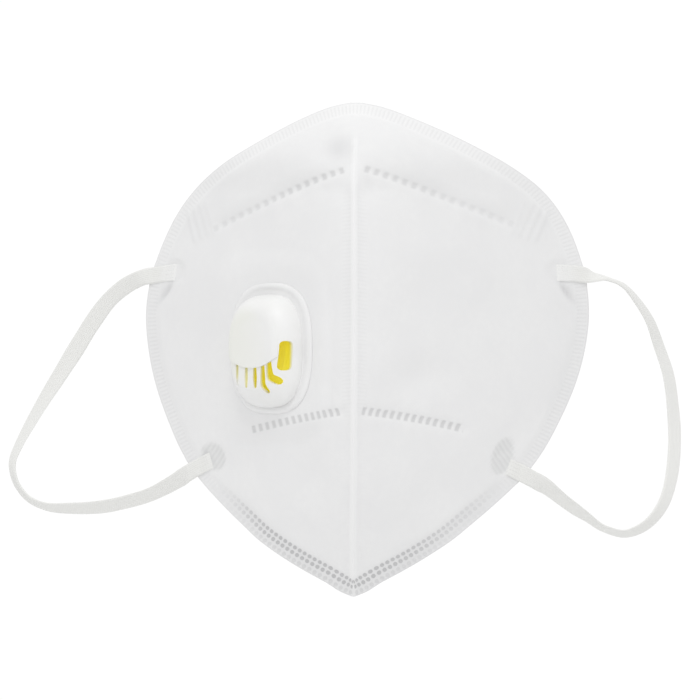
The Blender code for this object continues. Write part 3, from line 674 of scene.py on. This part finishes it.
def make_aluminium():
    m = material("clip_aluminium", (0.80, 0.81, 0.82), 0.35, 1.0)
    n = Nodes(m)
    brushed = n.noise(n.scaled(n.place(), (60, 60, 2600)), 1.0, 4.0, 0.6)
    n.put(n.out.inputs["Roughness"], n.span(brushed, 0.3, 0.7, 0.26, 0.48))
    n.put(n.out.inputs["Normal"], n.bump(brushed, 0.00003, 0.6))
    return m


WEB, LINING = make_web(), make_lining()
FILTER, FELT = make_felt("filter_white", (0.90, 0.90, 0.89), 900.0), make_felt("stiffener_white", (0.80, 0.80, 0.78), 600.0)
CAP = make_plastic("valve_bright", (0.865, 0.865, 0.855), (0.885, 0.885, 0.88), 0.36)
COLLAR = make_plastic("valve_collar", (0.845, 0.845, 0.845), (0.87, 0.87, 0.87), 0.62)
YELLOW, ELASTIC, FOAM, ALUMINIUM = make_silicone(), make_elastic(), make_foam(), make_aluminium()

# ================================================================= camera first, then the cords
AIM = Vector((-0.0068, -0.012, -0.0002))
YAW, FAR = math.radians(3.1), 5.0
camera = bpy.data.objects.new("camera", bpy.data.cameras.new("camera"))
bpy.context.scene.collection.objects.link(camera)
camera.location = AIM + Vector((math.sin(YAW), -math.cos(YAW), 0)) * FAR
camera.rotation_euler = (math.radians(90), 0, YAW)
camera.data.sensor_width = 36
camera.data.lens = 3.075 * FAR * 1000 * 36 / 700
camera.data.clip_start, camera.data.clip_end = 0.05, 20
bpy.context.scene.camera = camera

STRAP_W, STRAP_T, TAB_LIFT, EXIT = 5.5, 0.9, 0.3, 1.8
LOOP = {
    1: [(73.5, 1.5, 24), (78, 8, 23), (83, 14, 20.5), (87, 19, 16), (91, 24, 9.5), (94, 28.5, 1), (97, 30.5, -8.5), (98.5, 31.5, -20), (99, 31, -30), (98, 28.5, -42), (95.5, 25.5, -50.5), (90.5, 21, -57), (83.5, 14.5, -60), (77, 8, -58.5), (71, 1, -54.5), (64.5, -7, -49.5), (58.5, -15.5, -44.5)],
    -1: [(73.5, 1.5, 23.5), (80, 8.5, 20.5), (85.5, 13, 16), (91, 16.5, 9), (96.5, 19.5, 0.5), (102, 22, -8), (107.5, 24, -16.5), (112, 25, -24), (116, 25, -31.5), (118, 24.5, -37), (117, 23.5, -43), (113, 21.5, -48.5), (106.5, 18, -51.5), (98, 14, -52), (88, 8, -51.5), (78, 1.5, -49.5), (70, -5, -47), (62, -13, -43)],
}
TABS = {
    1: ([(62.0, 25.0), (65.5, 24.8), (69.0, 24.5)], [(54.2, -41.8), (50.8, -39.9), (46.8, -37.8)]),
    -1: ([(61.6, 25.2), (65.1, 24.8), (68.6, 24.3)], [(57.5, -40.2), (53.3, -37.9), (49.0, -35.8)]),
}
TWIST = {
    1: [(0, 8), (0.058, 36), (0.085, 58), (0.115, 76), (0.15, 86), (0.19, 77), (0.24, 68), (0.3, 58), (0.36, 51), (0.48, 44), (0.55, 47), (0.6, 51), (0.655, 59), (0.705, 67), (0.75, 66), (0.81, 44), (0.87, 32), (0.93, 12), (1, 8)],
    -1: [(0, 8), (0.07, 18), (0.13, 6), (0.28, 4), (0.34, 20), (0.4, 40), (0.445, 54), (0.49, 63), (0.525, 68), (0.555, 70), (0.595, 67), (0.64, 54), (0.69, 45), (0.755, 39), (0.82, 33), (0.875, 25), (0.935, 8), (1, 8)],
}


def loop_line(side, n):
    top, low = TABS[side]

    def on(q):
        x, z = np.array(side * q[0]), np.array(q[1])
        return inside(x - lean(x, z), z, np.array(0.12))

    points = [on(q) for q in top] + [np.array([side * x, y, z]) for x, y, z in LOOP[side]] + [on(q) for q in low]
    line = evenly(through(points, 10), n)
    t = np.gradient(line, axis=0)
    t /= np.linalg.norm(t, axis=1)[:, None]
    along = np.linspace(0, 1, n)
    turn = np.radians(table(TWIST[side])(along))
    flat = np.zeros((n, 3))
    for i in range(n):
        front = np.array([0.0, -1.0, 0.0])
        across = np.cross(t[i], front)
        across /= np.linalg.norm(across)
        back = np.cross(across, t[i])
        free = math.cos(turn[i]) * across + math.sin(turn[i]) * back * side
        end = min(along[i], 1 - along[i])
        normal = outward(np.array(line[i, 0]), np.array(line[i, 2]))
        tied = np.cross(t[i], normal)
        tied /= np.linalg.norm(tied)
        if tied @ across < 0:
            tied = -tied
        k = float(ramp(end, 0.058, 0.115))
        w = (1 - k) * tied + k * free
        w -= (w @ t[i]) * t[i]
        flat[i] = w / np.linalg.norm(w)
    return line, flat, t


def make_loop(word, side):
    n = 300
    line, flat, t = loop_line(side, n)
    along = np.concatenate([[0], np.cumsum(np.linalg.norm(np.diff(line, axis=0), axis=1))])
    up = np.cross(t, flat)
    if up[0] @ outward(line[0, 0], line[0, 2]) < 0:
        up = -up
    # section: a thin band with rounded edges, ribbed on both faces
    m = 27
    u = np.linspace(-1, 1, m)
    half = STRAP_T / 2 * 0.92 * np.sqrt(np.clip(1 - np.abs(u) ** 9, 0, 1))
    ribs = 0.055 * np.abs(np.sin(u * STRAP_W / 2 * math.pi / 0.62))
    upper = np.stack([u * STRAP_W / 2, half + ribs * (np.abs(u) < 0.97)], axis=1)
    lower = np.stack([u[::-1][1:-1] * STRAP_W / 2, -(half + ribs * (np.abs(u) < 0.97))[::-1][1:-1]], axis=1)
    section = np.concatenate([upper, lower])
    k = len(section)
    # the band's width wavers a little along it, and its ends are pressed flat by the weld
    weld = 1 - ramp(np.minimum(along, along[-1] - along), 5.5, 8.0)
    squash = 1 - 0.55 * weld - 0.38 * (1 - ramp(np.minimum(along, along[-1] - along), 0.0, 2.2))
    wobble = 1 + 0.02 * np.sin(along / 7.0) + 0.012 * np.sin(along / 2.3 + 1)
    points = np.zeros((n, k, 3))
    for i in range(n):
        sink = -0.02 * weld[i] - 0.34 * (1 - float(ramp(min(along[i], along[-1] - along[i]), 0.0, 1.9)))
        points[i] = line[i] + section[:, :1] * wobble[i] * flat[i] + (section[:, 1:] * squash[i] + sink) * up[i]
    idx = np.arange(n * k).reshape(n, k)
    faces = []
    for i in range(n - 1):
        for j in range(k):
            q = (j + 1) % k
            faces.append((idx[i, j], idx[i, q], idx[i + 1, q], idx[i + 1, j]))
    faces.append(tuple(idx[0, ::-1]))
    faces.append(tuple(idx[-1]))
    p = points.reshape(-1, 3)
    a, b, c = p[idx[5, 0]], p[idx[5, 1]], p[idx[6, 1]]
    if np.cross(b - a, c - a) @ (a - line[5]) < 0:
        faces = [f[::-1] for f in faces]
    obj = new(f"ear_band_{word}", p, [tuple(int(v) for v in f) for f in faces], ELASTIC)
    obj.data.set_sharp_from_angle(angle=math.radians(60))
    attribute(obj, "band_s", np.repeat(along, k))
    attribute(obj, "band_u", np.tile(section[:, 0], n))
    attribute(obj, "weld", np.repeat(weld, k))
    attribute(obj, "tied", np.repeat(0.85 * (1 - ramp(along, 3.0, 13.0)) + 0.25 * (1 - ramp(along[-1] - along, 1.0, 6.0)), k))
    out = np.abs(line[:, 0]) - half_width(line[:, 2]) > EXIT
    first, last = int(np.argmax(out)), n - 1 - int(np.argmax(out[::-1]))
    axis = line[first] - line[last]
    axis /= np.linalg.norm(axis)
    reach = line[n // 2] - line[last]
    reach -= (reach @ axis) * axis
    reach /= np.linalg.norm(reach)
    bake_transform(obj)
    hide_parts(f"ear_loop_{word}", f"loop_tab_upper_{word}", f"loop_tab_lower_{word}")
    return obj


make_loop("left", 1)
make_loop("right", -1)

# ================================================================= the cloth shell
N_OUT = Matrix((U_AXIS, V_AXIS, N_AXIS)).transposed()


def rows_to_tips(n):
    """Heights from the nose tip to the chin tip, closer together towards both tips."""
    q = np.linspace(0, 1, n)
    even = 79.93 - 159.86 * q
    bent = 79.93 * np.cos(np.pi * q)
    return 0.55 * even + 0.45 * bent


def shell_grid(rows, cols):
    """x and z over the whole shell, columns closer together by the front seam."""
    zs = rows_to_tips(rows)
    q = np.linspace(-1, 1, 2 * cols + 1)
    s = np.sign(q) * (0.62 * np.abs(q) + 0.38 * np.abs(q) ** 2)
    x = s[None, :] * half_width(zs)[:, None]
    return x, np.repeat(zs[:, None], 2 * cols + 1, axis=1)


def in_valve(x, z, half_u, half_v, power=2.7):
    """Which points of the cloth lie inside the valve's oval."""
    p = np.stack([x - VALVE_X, surface(x, z) - VALVE_Y, z - VALVE_Z], axis=-1)
    u, v = p @ np.array(U_AXIS), p @ np.array(V_AXIS)
    return (np.abs(u / half_u) ** power + np.abs(v / half_v) ** power < 1) & (x < 0)


def keep_cells(hit):
    return ~(hit[:-1, :-1] | hit[:-1, 1:] | hit[1:, 1:] | hit[1:, :-1])


def outer_shell():
    rows, cols = ((230, 96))
    x, z = shell_grid(rows, cols)
    d, s = from_rim(x, z)
    lift = relief(x, z, d)
    top, low = inside(x, z, -lift), inside(x, z, 0.34 - lift)
    keep = keep_cells(in_valve(x, z, 12.75, 16.75))
    obj = sheet_solid("outer_web", top, low, WEB, keep)
    both = lambda v: np.concatenate([np.ravel(v), np.ravel(v)])
    attribute(obj, "x_mm", both(x))
    attribute(obj, "a_mm", both(np.abs(x)))
    attribute(obj, "z_mm", both(z))
    attribute(obj, "rim_d", both(d))
    attribute(obj, "rim_s", both(s))
    a = np.abs(x)
    attribute(obj, "nose_d", both((z - nose_line(x)) * 0.90))
    attribute(obj, "nose_s", both(a * 1.09 + (z - nose_line(x)) * -0.36))
    attribute(obj, "chin_d", both((z - chin_line(x)) * 0.985))
    attribute(obj, "chin_s", both(a * 1.01))
    pad = np.zeros_like(x)
    for cx, cz, rx, rz, turn in PADS:
        e = np.sqrt(-np.log(np.maximum(bump(x, z, cx, cz, rx, rz, turn), 1e-9)))
        pad = np.maximum(pad, 1 - ramp(e, 0.85, 1.1))
    attribute(obj, "pad", both(pad))
    # painted shade: how much shade is painted into the colour over the folds and dents
    painted_crease_shade = 0.30 * bump(x, z, -5.5, 64.5, 4.5, 4.0, 28) + 0.10 * bump(x, z, 4.6, 54.0, 2.5, 4.0)
    for side in (-1, 1):
        painted_crease_shade += 0.45 * bump(x, z, side * 64.6, 18.6, 1.0, 4.4, side * 36)
    painted_crease_shade += 0.55 * bump(x, z, -48.6, -34.6, 0.75, 2.6, 35)
    attribute(obj, "painted_crease_shade", both(np.minimum(painted_crease_shade, 1)))
    attribute(obj, "chin_a", both(a - np.where(x < 0, 1.9, 0.0)))
    c, sn = math.cos(math.radians(70)), math.sin(math.radians(70))
    u, v = (a - 53.0) * c + (z - 41.2) * sn, -(a - 53.0) * sn + (z - 41.2) * c
    attribute(obj, "corner", both((1 - ramp(np.abs(u), 5.0, 6.8)) * (1 - ramp(np.abs(v), 4.0, 5.2))))
    attribute(obj, "corner_v", both(v))
    drop_loose(obj)
    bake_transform(obj)
    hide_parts("outer_web_left_cheek", "outer_web_right_cheek", "front_seam")
    return obj


def lining_depth(x, z, d):
    """Depth of the lining's outer face: it meets the outer web at the welded edge."""
    return 0.42 + 1.66 * ramp(d, 2.0, 6.5) + 1.2 * pocket(x, z) * ramp(d, 2.5, 6.0)


def lining():
    rows, cols = ((150, 60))
    x, z = shell_grid(rows, cols)
    d, s = from_rim(x, z)
    flat = 1 - ramp(valve_reach(x, z), 1.12, 1.5)
    ruck = 0.30 * undulation(x * 1.1 + 9, z * 1.1) * ramp(d, 6, 14) * (1 - flat)
    lift = relief(x, z, d) * 0.8
    depth = lining_depth(x, z, d) - np.minimum(lift, 0.3) + np.maximum(ruck, -0.15)
    depth = depth * (1 - flat * ramp(d, 2, 6)) + flat * ramp(d, 2, 6) * 2.0
    # a narrow flat seam allowance stands inwards behind the front seam
    allow = np.exp(-((x / 1.1) ** 2)) * (1 - ramp(z, 56, 62))
    low = inside(x, z, depth + 0.38 + 0.9 * allow)
    top = inside(x, z, depth)
    keep = keep_cells(in_valve(x, z, 12.75, 16.75))
    obj = sheet_solid("inner_web", top, low, LINING, keep)
    both = lambda v: np.concatenate([np.ravel(v), np.ravel(v)])
    attribute(obj, "rim_d", both(d))
    attribute(obj, "rim_s", both(s))
    drop_loose(obj)
    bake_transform(obj)
    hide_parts("inner_web_left_cheek", "inner_web_right_cheek")
    return obj


def core(name, side, span, look, node, body):
    """A hidden ply of one cheek, short of the welded edge and the seam."""
    rows, cols = 60, 26
    zs = np.linspace(69.0, -68.0, rows)
    wide = np.maximum(half_width(zs) - 8.2, 4.4)
    q = np.linspace(0, 1, cols)
    x = 3.9 + q[None, :] * (wide[:, None] - 3.9)
    x, z = side * x, np.repeat(zs[:, None], cols, axis=1)
    d, _ = from_rim(x, z)
    free = ramp(d, 5.0, 9.0)
    lift = np.minimum(relief(x, z, d), 0.0) * 0.8
    drop = 1.2 * pocket(x, z)
    faces = [inside(x, z, 0.5 + (t - 0.5) * free + drop * free - lift) for t in span]
    keep = keep_cells(in_valve(x, z, 12.9, 16.9))
    obj = sheet_solid(name, faces[0], faces[1], look, keep)
    drop_loose(obj)
    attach(obj, body)
    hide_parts(node)
    return obj


web = outer_shell()
inner = lining()
for side, word, body in ((1, "left", "left_half"), (-1, "right", "right_half")):
    core(f"filter_layer_{word}", side, (0.62, 0.86), FILTER, f"filter_media_{word}_cheek", body)
    core(f"stiffener_layer_{word}", side, (1.05, 1.60), FELT, f"stiffener_web_{word}_cheek", body)


# ================================================================= nose foam
def foam():
    n, k = 110, 28
    xs = np.linspace(-40.0, 40.0, n)
    a = 2 * np.pi * np.arange(k) / k
    cu = np.sign(np.cos(a)) * np.abs(np.cos(a)) ** 0.55
    cw = np.sign(np.sin(a)) * np.abs(np.sin(a)) ** 0.70
    points = np.zeros((n, k, 3))
    for i, x in enumerate(xs):
        e = 0.5
        zc = float(top_edge(x)) - 9.5
        g = (float(top_edge(x + e)) - float(top_edge(x - e))) / (2 * e) * min(1.0, abs(x) / 6)
        across = np.array([-g, 1.0]) / math.hypot(g, 1)
        end = math.sqrt(max(0.0, 1 - max(0.0, (abs(x) - 38.2) / 1.8) ** 2)) * 0.9 + 0.1
        sag = 1 + 0.05 * math.sin(x / 3.1) + 0.04 * math.sin(x / 1.7 + 2)
        px = x + across[0] * cu * 5.4 * end
        pz = zc + across[1] * cu * 5.4 * end
        d, _ = from_rim(px, pz)
        base = lining_depth(px, pz, d) + 0.38
        depth = np.maximum(base, 3.68) + 0.15 + 1.5 + cw * 1.45 * end * sag
        points[i] = inside(px, pz, depth)
    idx = np.arange(n * k).reshape(n, k)
    faces = [(idx[i, j], idx[i, (j + 1) % k], idx[i + 1, (j + 1) % k], idx[i + 1, j]) for i in range(n - 1) for j in range(k)]
    faces += [tuple(idx[0, ::-1]), tuple(idx[-1])]
    p = points.reshape(-1, 3)
    centre = points[5].mean(axis=0)
    q = faces[5 * k]
    if np.cross(p[q[1]] - p[q[0]], p[q[2]] - p[q[0]]) @ (p[q[0]] - centre) < 0:
        faces = [f[::-1] for f in faces]
    obj = new("nose_pad", p, [tuple(int(v) for v in f) for f in faces], FOAM)
    obj.data.set_sharp_from_angle(angle=math.radians(60))
    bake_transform(obj)
    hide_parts("nose_foam")
    return obj


foam()

# ================================================================= valve
VALVE = Matrix.Translation(VALVE_AT * MM) @ N_OUT.to_4x4()
OVAL = 2.7
A, B, H, WALL = 14.5, 18.6, 9.6, 1.1


def oval(half_u, half_v, n, power=OVAL):
    a = 2 * np.pi * (np.arange(n) + 0.5) / n
    c, s = np.cos(a), np.sin(a)
    return np.stack([half_u * np.sign(c) * np.abs(c) ** (2 / power), half_v * np.sign(s) * np.abs(s) ** (2 / power)], axis=1)


def loft(sections, n):
    return [np.column_stack([oval(u, v, n), np.full(n, w)]) for u, v, w in sections]


def skin(rings, n, loop=False, first=False, last=False):
    points = np.concatenate(rings)
    faces = []
    pairs = list(zip(range(len(rings) - 1), range(1, len(rings)))) + ([(len(rings) - 1, 0)] if loop else [])
    for p, q in pairs:
        for i in range(n):
            j = (i + 1) % n
            faces.append((p * n + i, p * n + j, q * n + j, q * n + i))
    if first:
        faces.append(tuple(range(n))[::-1])
    if last:
        k = (len(rings) - 1) * n
        faces.append(tuple(range(k, k + n)))
    return points, faces


def valve_piece(name, points, faces, look, smooth=True):
    obj = new(name, points, faces, look, smooth)
    obj.data.transform(VALVE)
    return obj


def prism(outline, low, high):
    """A closed upright block over an outline of (u, v) points."""
    k = len(outline)
    points = [(u, v, low) for u, v in outline] + [(u, v, high) for u, v in outline]
    faces = [tuple(range(k))[::-1], tuple(range(k, 2 * k))] + [(i, (i + 1) % k, (i + 1) % k + k, i + k) for i in range(k)]
    area = sum(outline[i][0] * outline[(i + 1) % k][1] - outline[(i + 1) % k][0] * outline[i][1] for i in range(k))
    return np.array(points, float), faces if area > 0 else [f[::-1] for f in faces]


def ribbon(line, width, n=14):
    """The outline of a stroke of that width along a line, with round ends."""
    p = through(line, 6) if len(line) > 2 else evenly(np.array(line, float), 6)
    t = np.gradient(p, axis=0)
    t /= np.linalg.norm(t, axis=1)[:, None]
    s = np.stack([-t[:, 1], t[:, 0]], axis=1)
    w = np.full(len(p), width / 2) if np.isscalar(width) else np.interp(np.linspace(0, 1, len(p)), np.linspace(0, 1, len(width)), width) / 2
    out = [tuple(q) for q in p + s * w[:, None]]
    for a in np.linspace(90, -90, 7)[1:-1]:
        c, e = math.cos(math.radians(a)), math.sin(math.radians(a))
        out.append(tuple(p[-1] + (t[-1] * c + s[-1] * e) * w[-1]))
    out += [tuple(q) for q in (p - s * w[:, None])[::-1]]
    for a in np.linspace(90, -90, 7)[1:-1]:
        c, e = math.cos(math.radians(a)), math.sin(math.radians(a))
        out.append(tuple(p[0] - (t[0] * c + s[0] * e) * w[0]))
    return out


def apply_cuts(obj, cutters, operation="DIFFERENCE"):
    for c in cutters:
        b = obj.modifiers.new("cut", "BOOLEAN")
        b.operation, b.solver, b.object = operation, "EXACT", c
    graph = bpy.context.evaluated_depsgraph_get()
    graph.update()
    mesh = bpy.data.meshes.new_from_object(obj.evaluated_get(graph), depsgraph=graph)
    obj.modifiers.clear()
    obj.data = mesh
    for c in cutters:
        bpy.data.objects.remove(c)
    return obj


def dome_profile():
    """Half sizes and heights up the cover's outside, rounded where wall meets front."""
    base = through([(0.0, 0.0, 0.3), (0.0, 0.0, 1.6), (0.5, 0.5, 4.0), (1.5, 1.6, 6.3), (3.2, 3.4, 8.35), (5.0, 5.3, 9.35), (6.6, 7.0, H)], 3)
    return [(A - du, B - dv, w) for du, dv, w in base]


N_RING = 120
DROP = -0.6  # the moulding sits a little low on its seat
COVER_B = 18.2


def lower(rings, by=DROP):
    return [r + np.array([0.9, by, 0.0]) for r in rings]


def cover():
    k = COVER_B - B
    full = [(u, v + k, w) for u, v, w in dome_profile()]
    outer = full
    inner = [(A - 7.2, COVER_B - 7.6, H - WALL - 0.4), (A - 5.7, COVER_B - 6.0, 8.85 - WALL), (A - 4.4, COVER_B - 4.6, 6.9), (A - 2.8, COVER_B - 2.9, 5.2), (A - 1.4, COVER_B - 1.3, 3.3), (A - WALL, COVER_B - 1.05, 1.7), (13.3, 17.0, 1.3), (13.3, 17.0, 0.3)]
    n = N_RING
    rings = loft(outer + inner, n)
    for r in rings[: len(outer)]:  # the louvres lie a little lower than the plain front
        down = ramp(r[:, 2], 2.5, 6.0) * (1 - ramp(r[:, 1], -5.0, 2.0))
        r[:, 0] *= 1 - 0.026 * down
        r[:, 1] *= 1 - 0.016 * down
        r[:, 2] -= 0.5 * down
    rings = lower(rings, DROP - 0.75)
    points = np.concatenate(rings)
    faces = []
    cut = len(outer) - 1
    for i0 in range(len(rings) - 1):
        if i0 != cut:
            faces += [(i0 * n + i, i0 * n + (i + 1) % n, (i0 + 1) * n + (i + 1) % n, (i0 + 1) * n + i) for i in range(n)]
    last = len(rings) - 1
    faces += [(last * n + i, last * n + (i + 1) % n, (i + 1) % n, i) for i in range(n)]
    faces.append(tuple(range(cut * n, (cut + 1) * n)))
    faces.append(tuple(range((cut + 1) * n, (cut + 2) * n))[::-1])
    obj = new("valve_cover_moulding", points, faces, CAP)
    strokes = []
    strokes.append(ribbon([(7.9, -2.7), (7.95, -6.6), (8.4, -9.3), (10.0, -10.3)], [1.9, 2.4, 2.9, 2.8]))
    strokes.append(ribbon([(5.15, -5.3), (5.2, -9.2), (5.3, -11.8), (6.2, -13.6)], [1.7, 2.2, 2.2, 1.8]))
    strokes.append(ribbon([(1.55, -6.4), (1.57, -9.4), (1.65, -12.2)], [1.5, 1.9, 1.3]))
    # the two at the far side are only grooves
    strokes.append(ribbon([(-2.4, -6.4), (-2.42, -9.4), (-2.5, -12.2)], [1.3, 1.5, 1.1]))
    strokes.append(ribbon([(-6.6, -5.3), (-6.65, -8.8), (-6.7, -11.6)], [1.2, 1.3, 1.0]))
    cutters = []
    for i, outline in enumerate(strokes):
        p, f = prism([(cu + 0.9, cv - 0.5) for cu, cv in outline], 3.9 if i < 3 else 8.28, 13.0)
        cutters.append(new(f"cut_{i}", p, f, CAP, smooth=False))
    # one window in each flank, cut across, with round corners
    low_v, high_v, low_w, high_w, r = -7.6, 1.9, 4.1, 8.0, 1.3
    corner = [(high_v - r, high_w - r, 0), (low_v + r, high_w - r, 90), (low_v + r, low_w + r, 180), (high_v - r, low_w + r, 270)]
    outline = [(cv + r * math.cos(math.radians(a0 + a)), cw + r * math.sin(math.radians(a0 + a))) for cv, cw, a0 in corner for a in (0, 18, 36, 54, 72, 90)]
    p, f = prism(outline, -20.0, 20.0)
    p = p[:, [2, 0, 1]]
    cutters.append(new("cut_window", p, f, CAP, smooth=False))
    apply_cuts(obj, cutters)
    # the plain shield on the front, standing a little proud of the louvres
    prof = [(u, v, w) for u, v, w in full if w > 8.0]
    ring_top = [(u + 0.02, v + 0.02, w + 0.03) for u, v, w in prof]
    ring_low = [(u - 0.5, v - 0.5, w - 0.75) for u, v, w in prof]
    ring_mid = [(prof[0][0] + 0.02, prof[0][1] + 0.02, prof[0][2] - 0.06)]
    rings = lower(loft(ring_low[::-1] + ring_mid + ring_top, n), DROP - 0.75)
    points, faces = skin(rings, n)
    m = len(rings)
    faces.append(tuple(range(n))[::-1])
    faces.append(tuple(range((m - 1) * n, m * n)))
    shield = new("valve_shield", points, faces, CAP)
    below = [(-16.0, -25.0), (16.0, -25.0), (16.0, -1.2), (13.2, -1.5)]
    below += [(float(u), float(-2.0 - 4.3 * (1 - (abs(u) / 12.0) ** 2.2))) for u in np.linspace(12.0, -12.0, 33)]
    below += [(-13.2, -1.5), (-16.0, -1.2)]
    p, f = prism([(cu + 0.9, cv - 0.5) for cu, cv in below], -5.0, 20.0)
    apply_cuts(shield, [new("cut_shield", p, f, CAP, smooth=False)])
    for o in (obj, shield):
        at = np.zeros(len(o.data.vertices) * 3)
        o.data.vertices.foreach_get("co", at)
        at = at.reshape(-1, 3) / MM
        heights = np.array([q[2] for q in full])
        wide = np.interp(at[:, 2], heights, [q[0] for q in full])
        high = np.interp(at[:, 2], heights, [q[1] for q in full])
        ratio = (np.abs((at[:, 0] - 0.9) / wide) ** 2.3 + np.abs((at[:, 1] - DROP + 0.75) / high) ** 2.3) ** (1 / 2.3)
        # painted light: the yellow light of the flap on the walls it faces is painted into their colour
        attribute(o, "painted_flap_light", (1 - np.clip((ratio - 0.92 + 0.10 * ramp(at[:, 2], 5.5, 6.5)) / 0.04, 0, 1)) * (1 - ramp(at[:, 2], H - 1.5, H - 1.15)) * (0.0 if o is shield else 1.0))
        attribute(o, "cream", (1 - ramp(np.hypot((at[:, 0] + 2.8) / 12.5, (at[:, 1] - 0.5) / 15.5), 0.55, 0.95)) * ramp(at[:, 2], 7.0, 8.8))
        o.data.transform(VALVE)
        o.data.shade_smooth()
        o.data.set_sharp_from_angle(angle=math.radians(28))
        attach(o, "right_half")
    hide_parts("valve_cover")
    return obj


def ring():
    n = 160
    sections = [(13.5, 16.3, -0.08), (18.5, 20.9, -0.08), (18.75, 21.15, 0.10), (18.7, 21.1, 0.40), (18.2, 20.7, 0.72), (17.5, 20.2, 0.90), (16.8, 19.7, 0.86), (16.1, 19.3, 0.62), (15.6, 19.0, 0.46), (15.1, 18.6, 0.42), (13.5, 16.3, 0.40)]
    points, faces = skin(lower(loft(sections, n), -0.5), n, loop=True)
    obj = valve_piece("valve_weld_collar", points, faces, COLLAR)
    obj.data.set_sharp_from_angle(angle=math.radians(50))
    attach(obj, "right_half")
    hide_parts("valve_weld_ring")


def flap():
    """Thin silicone disc with a raised lip and one faint moulded rib; it hangs from its top edge."""
    n = 96
    base, thick = 1.78, 0.55
    lip = [(11.5, 14.3, base), (11.6, 14.4, base + 0.3), (11.55, 14.35, 2.50), (11.25, 14.05, 2.56), (10.95, 13.75, 2.45), (10.65, 13.4, base + thick), (9.0, 11.5, base + thick), (8.7, 11.2, base + thick + 0.14), (8.4, 10.9, base + thick), (0.6, 0.8, base + thick)]
    rings = loft([(u, v, w) for u, v, w in lip], n)
    low = loft([(u, v, base) for u, v in ((0.6, 0.8), (11.3, 14.0))], n)
    rings = [r + np.array([0.85, -0.4, 0.0]) for r in low + rings]
    points, faces = skin(rings, n)
    faces.append(tuple(range(n))[::-1])
    faces.append(tuple(range((len(rings) - 1) * n, len(rings) * n)))
    obj = valve_piece("valve_membrane", points, faces, YELLOW)
    obj.data.set_sharp_from_angle(angle=math.radians(45))
    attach(obj, "valve_flap")
    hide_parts("valve_flap")


cover()
ring()
flap()


# ================================================================= nose clip
def clip():
    n = 130
    xs = np.linspace(-42.0, 42.0, n)
    top = np.zeros((n, 5, 3))
    low = np.zeros((n, 5, 3))
    for i, x in enumerate(xs):
        e = 0.5
        zc = float(top_edge(x)) - 8.5
        g = (float(top_edge(x + e)) - float(top_edge(x - e))) / (2 * e) * min(1.0, abs(x) / 6)
        across = np.array([-g, 1.0]) / math.hypot(g, 1)
        end = math.sqrt(max(0.0, 1 - max(0.0, (abs(x) - 41.0) / 1.05) ** 2)) * 0.75 + 0.25
        q = np.linspace(-1, 1, 5)
        px, pz = x + across[0] * q * 2.0 * end, zc + across[1] * q * 2.0 * end
        crown = 0.12 * (1 - q * q)
        top[i] = inside(px, pz, 0.98 - crown)
        low[i] = inside(px, pz, 1.50 - crown)
    obj = sheet_solid("nose_strip", top, low, ALUMINIUM)
    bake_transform(obj)
    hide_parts("nose_clip")


clip()
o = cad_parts["valve_seat"]
o.data.materials.clear()
o.data.materials.append(CAP)

# ================================================================= floor, lights, world
floor_material = material("floor_pale", (0.86, 0.86, 0.86), 0.6)
_n = Nodes(floor_material)
_n.put(_n.out.inputs["Roughness"], _n.span(_n.noise(_n.place(), 18.0, 3.0), 0.3, 0.7, 0.55, 0.7))
k = 96
ring_points = [(550 * math.cos(2 * math.pi * i / k), 550 * math.sin(2 * math.pi * i / k) - 20, -165.0) for i in range(k)]
floor = new("floor", ring_points, [tuple(range(k))], floor_material, smooth=False)


def area(name, place, aim, size, power, color=(1, 1, 1)):
    lamp = bpy.data.lights.new(name, "AREA")
    lamp.shape, lamp.size, lamp.energy, lamp.color = "DISK", size, power, color
    o = bpy.data.objects.new(name, lamp)
    bpy.context.scene.collection.objects.link(o)
    o.location = place
    o.rotation_euler = (Vector(aim) - Vector(place)).to_track_quat("-Z", "Y").to_euler()
    return o


area("key", (0.0, -1.3, 1.7), (0, -0.04, 0), 0.8, 6.9)

world = bpy.data.worlds.new("studio")
bpy.context.scene.world = world
world.use_nodes = True
t = world.node_tree
back = t.nodes["Background"]
coord = t.nodes.new("ShaderNodeTexCoord")
split = t.nodes.new("ShaderNodeSeparateXYZ")
t.links.new(coord.outputs["Generated"], split.inputs[0])
up = t.nodes.new("ShaderNodeMapRange")
t.links.new(split.outputs["Z"], up.inputs["Value"])
for key, value in (("From Min", -0.70), ("From Max", -0.03), ("To Min", 0.22), ("To Max", 1.0)):
    up.inputs[key].default_value = value
front = t.nodes.new("ShaderNodeMapRange")  # plain white behind the mask, a darker room on the camera's side
t.links.new(split.outputs["Y"], front.inputs["Value"])
for key, value in (("From Min", -0.2), ("From Max", 0.85), ("To Min", 0.96), ("To Max", 1.02)):
    front.inputs[key].default_value = value
flank = t.nodes.new("ShaderNodeMath")
flank.operation = "ABSOLUTE"
t.links.new(split.outputs["X"], flank.inputs[0])
beside = t.nodes.new("ShaderNodeMapRange")
t.links.new(flank.outputs[0], beside.inputs["Value"])
for key, value in (("From Min", 0.45), ("From Max", 0.95), ("To Min", 1.0), ("To Max", 0.82)):
    beside.inputs[key].default_value = value
room = t.nodes.new("ShaderNodeMath")
room.operation = "MULTIPLY"
t.links.new(front.outputs[0], room.inputs[0])
t.links.new(beside.outputs[0], room.inputs[1])
both = t.nodes.new("ShaderNodeMath")
both.operation = "MULTIPLY"
t.links.new(up.outputs[0], both.inputs[0])
t.links.new(room.outputs[0], both.inputs[1])
t.links.new(both.outputs[0], back.inputs["Strength"])
back.inputs["Color"].default_value = (1, 1, 1, 1)

bpy.context.scene.view_settings.view_transform = "Standard"
bpy.context.scene.view_settings.look = "None"
bpy.context.scene.view_settings.exposure = 0
bpy.context.scene.view_settings.gamma = 1
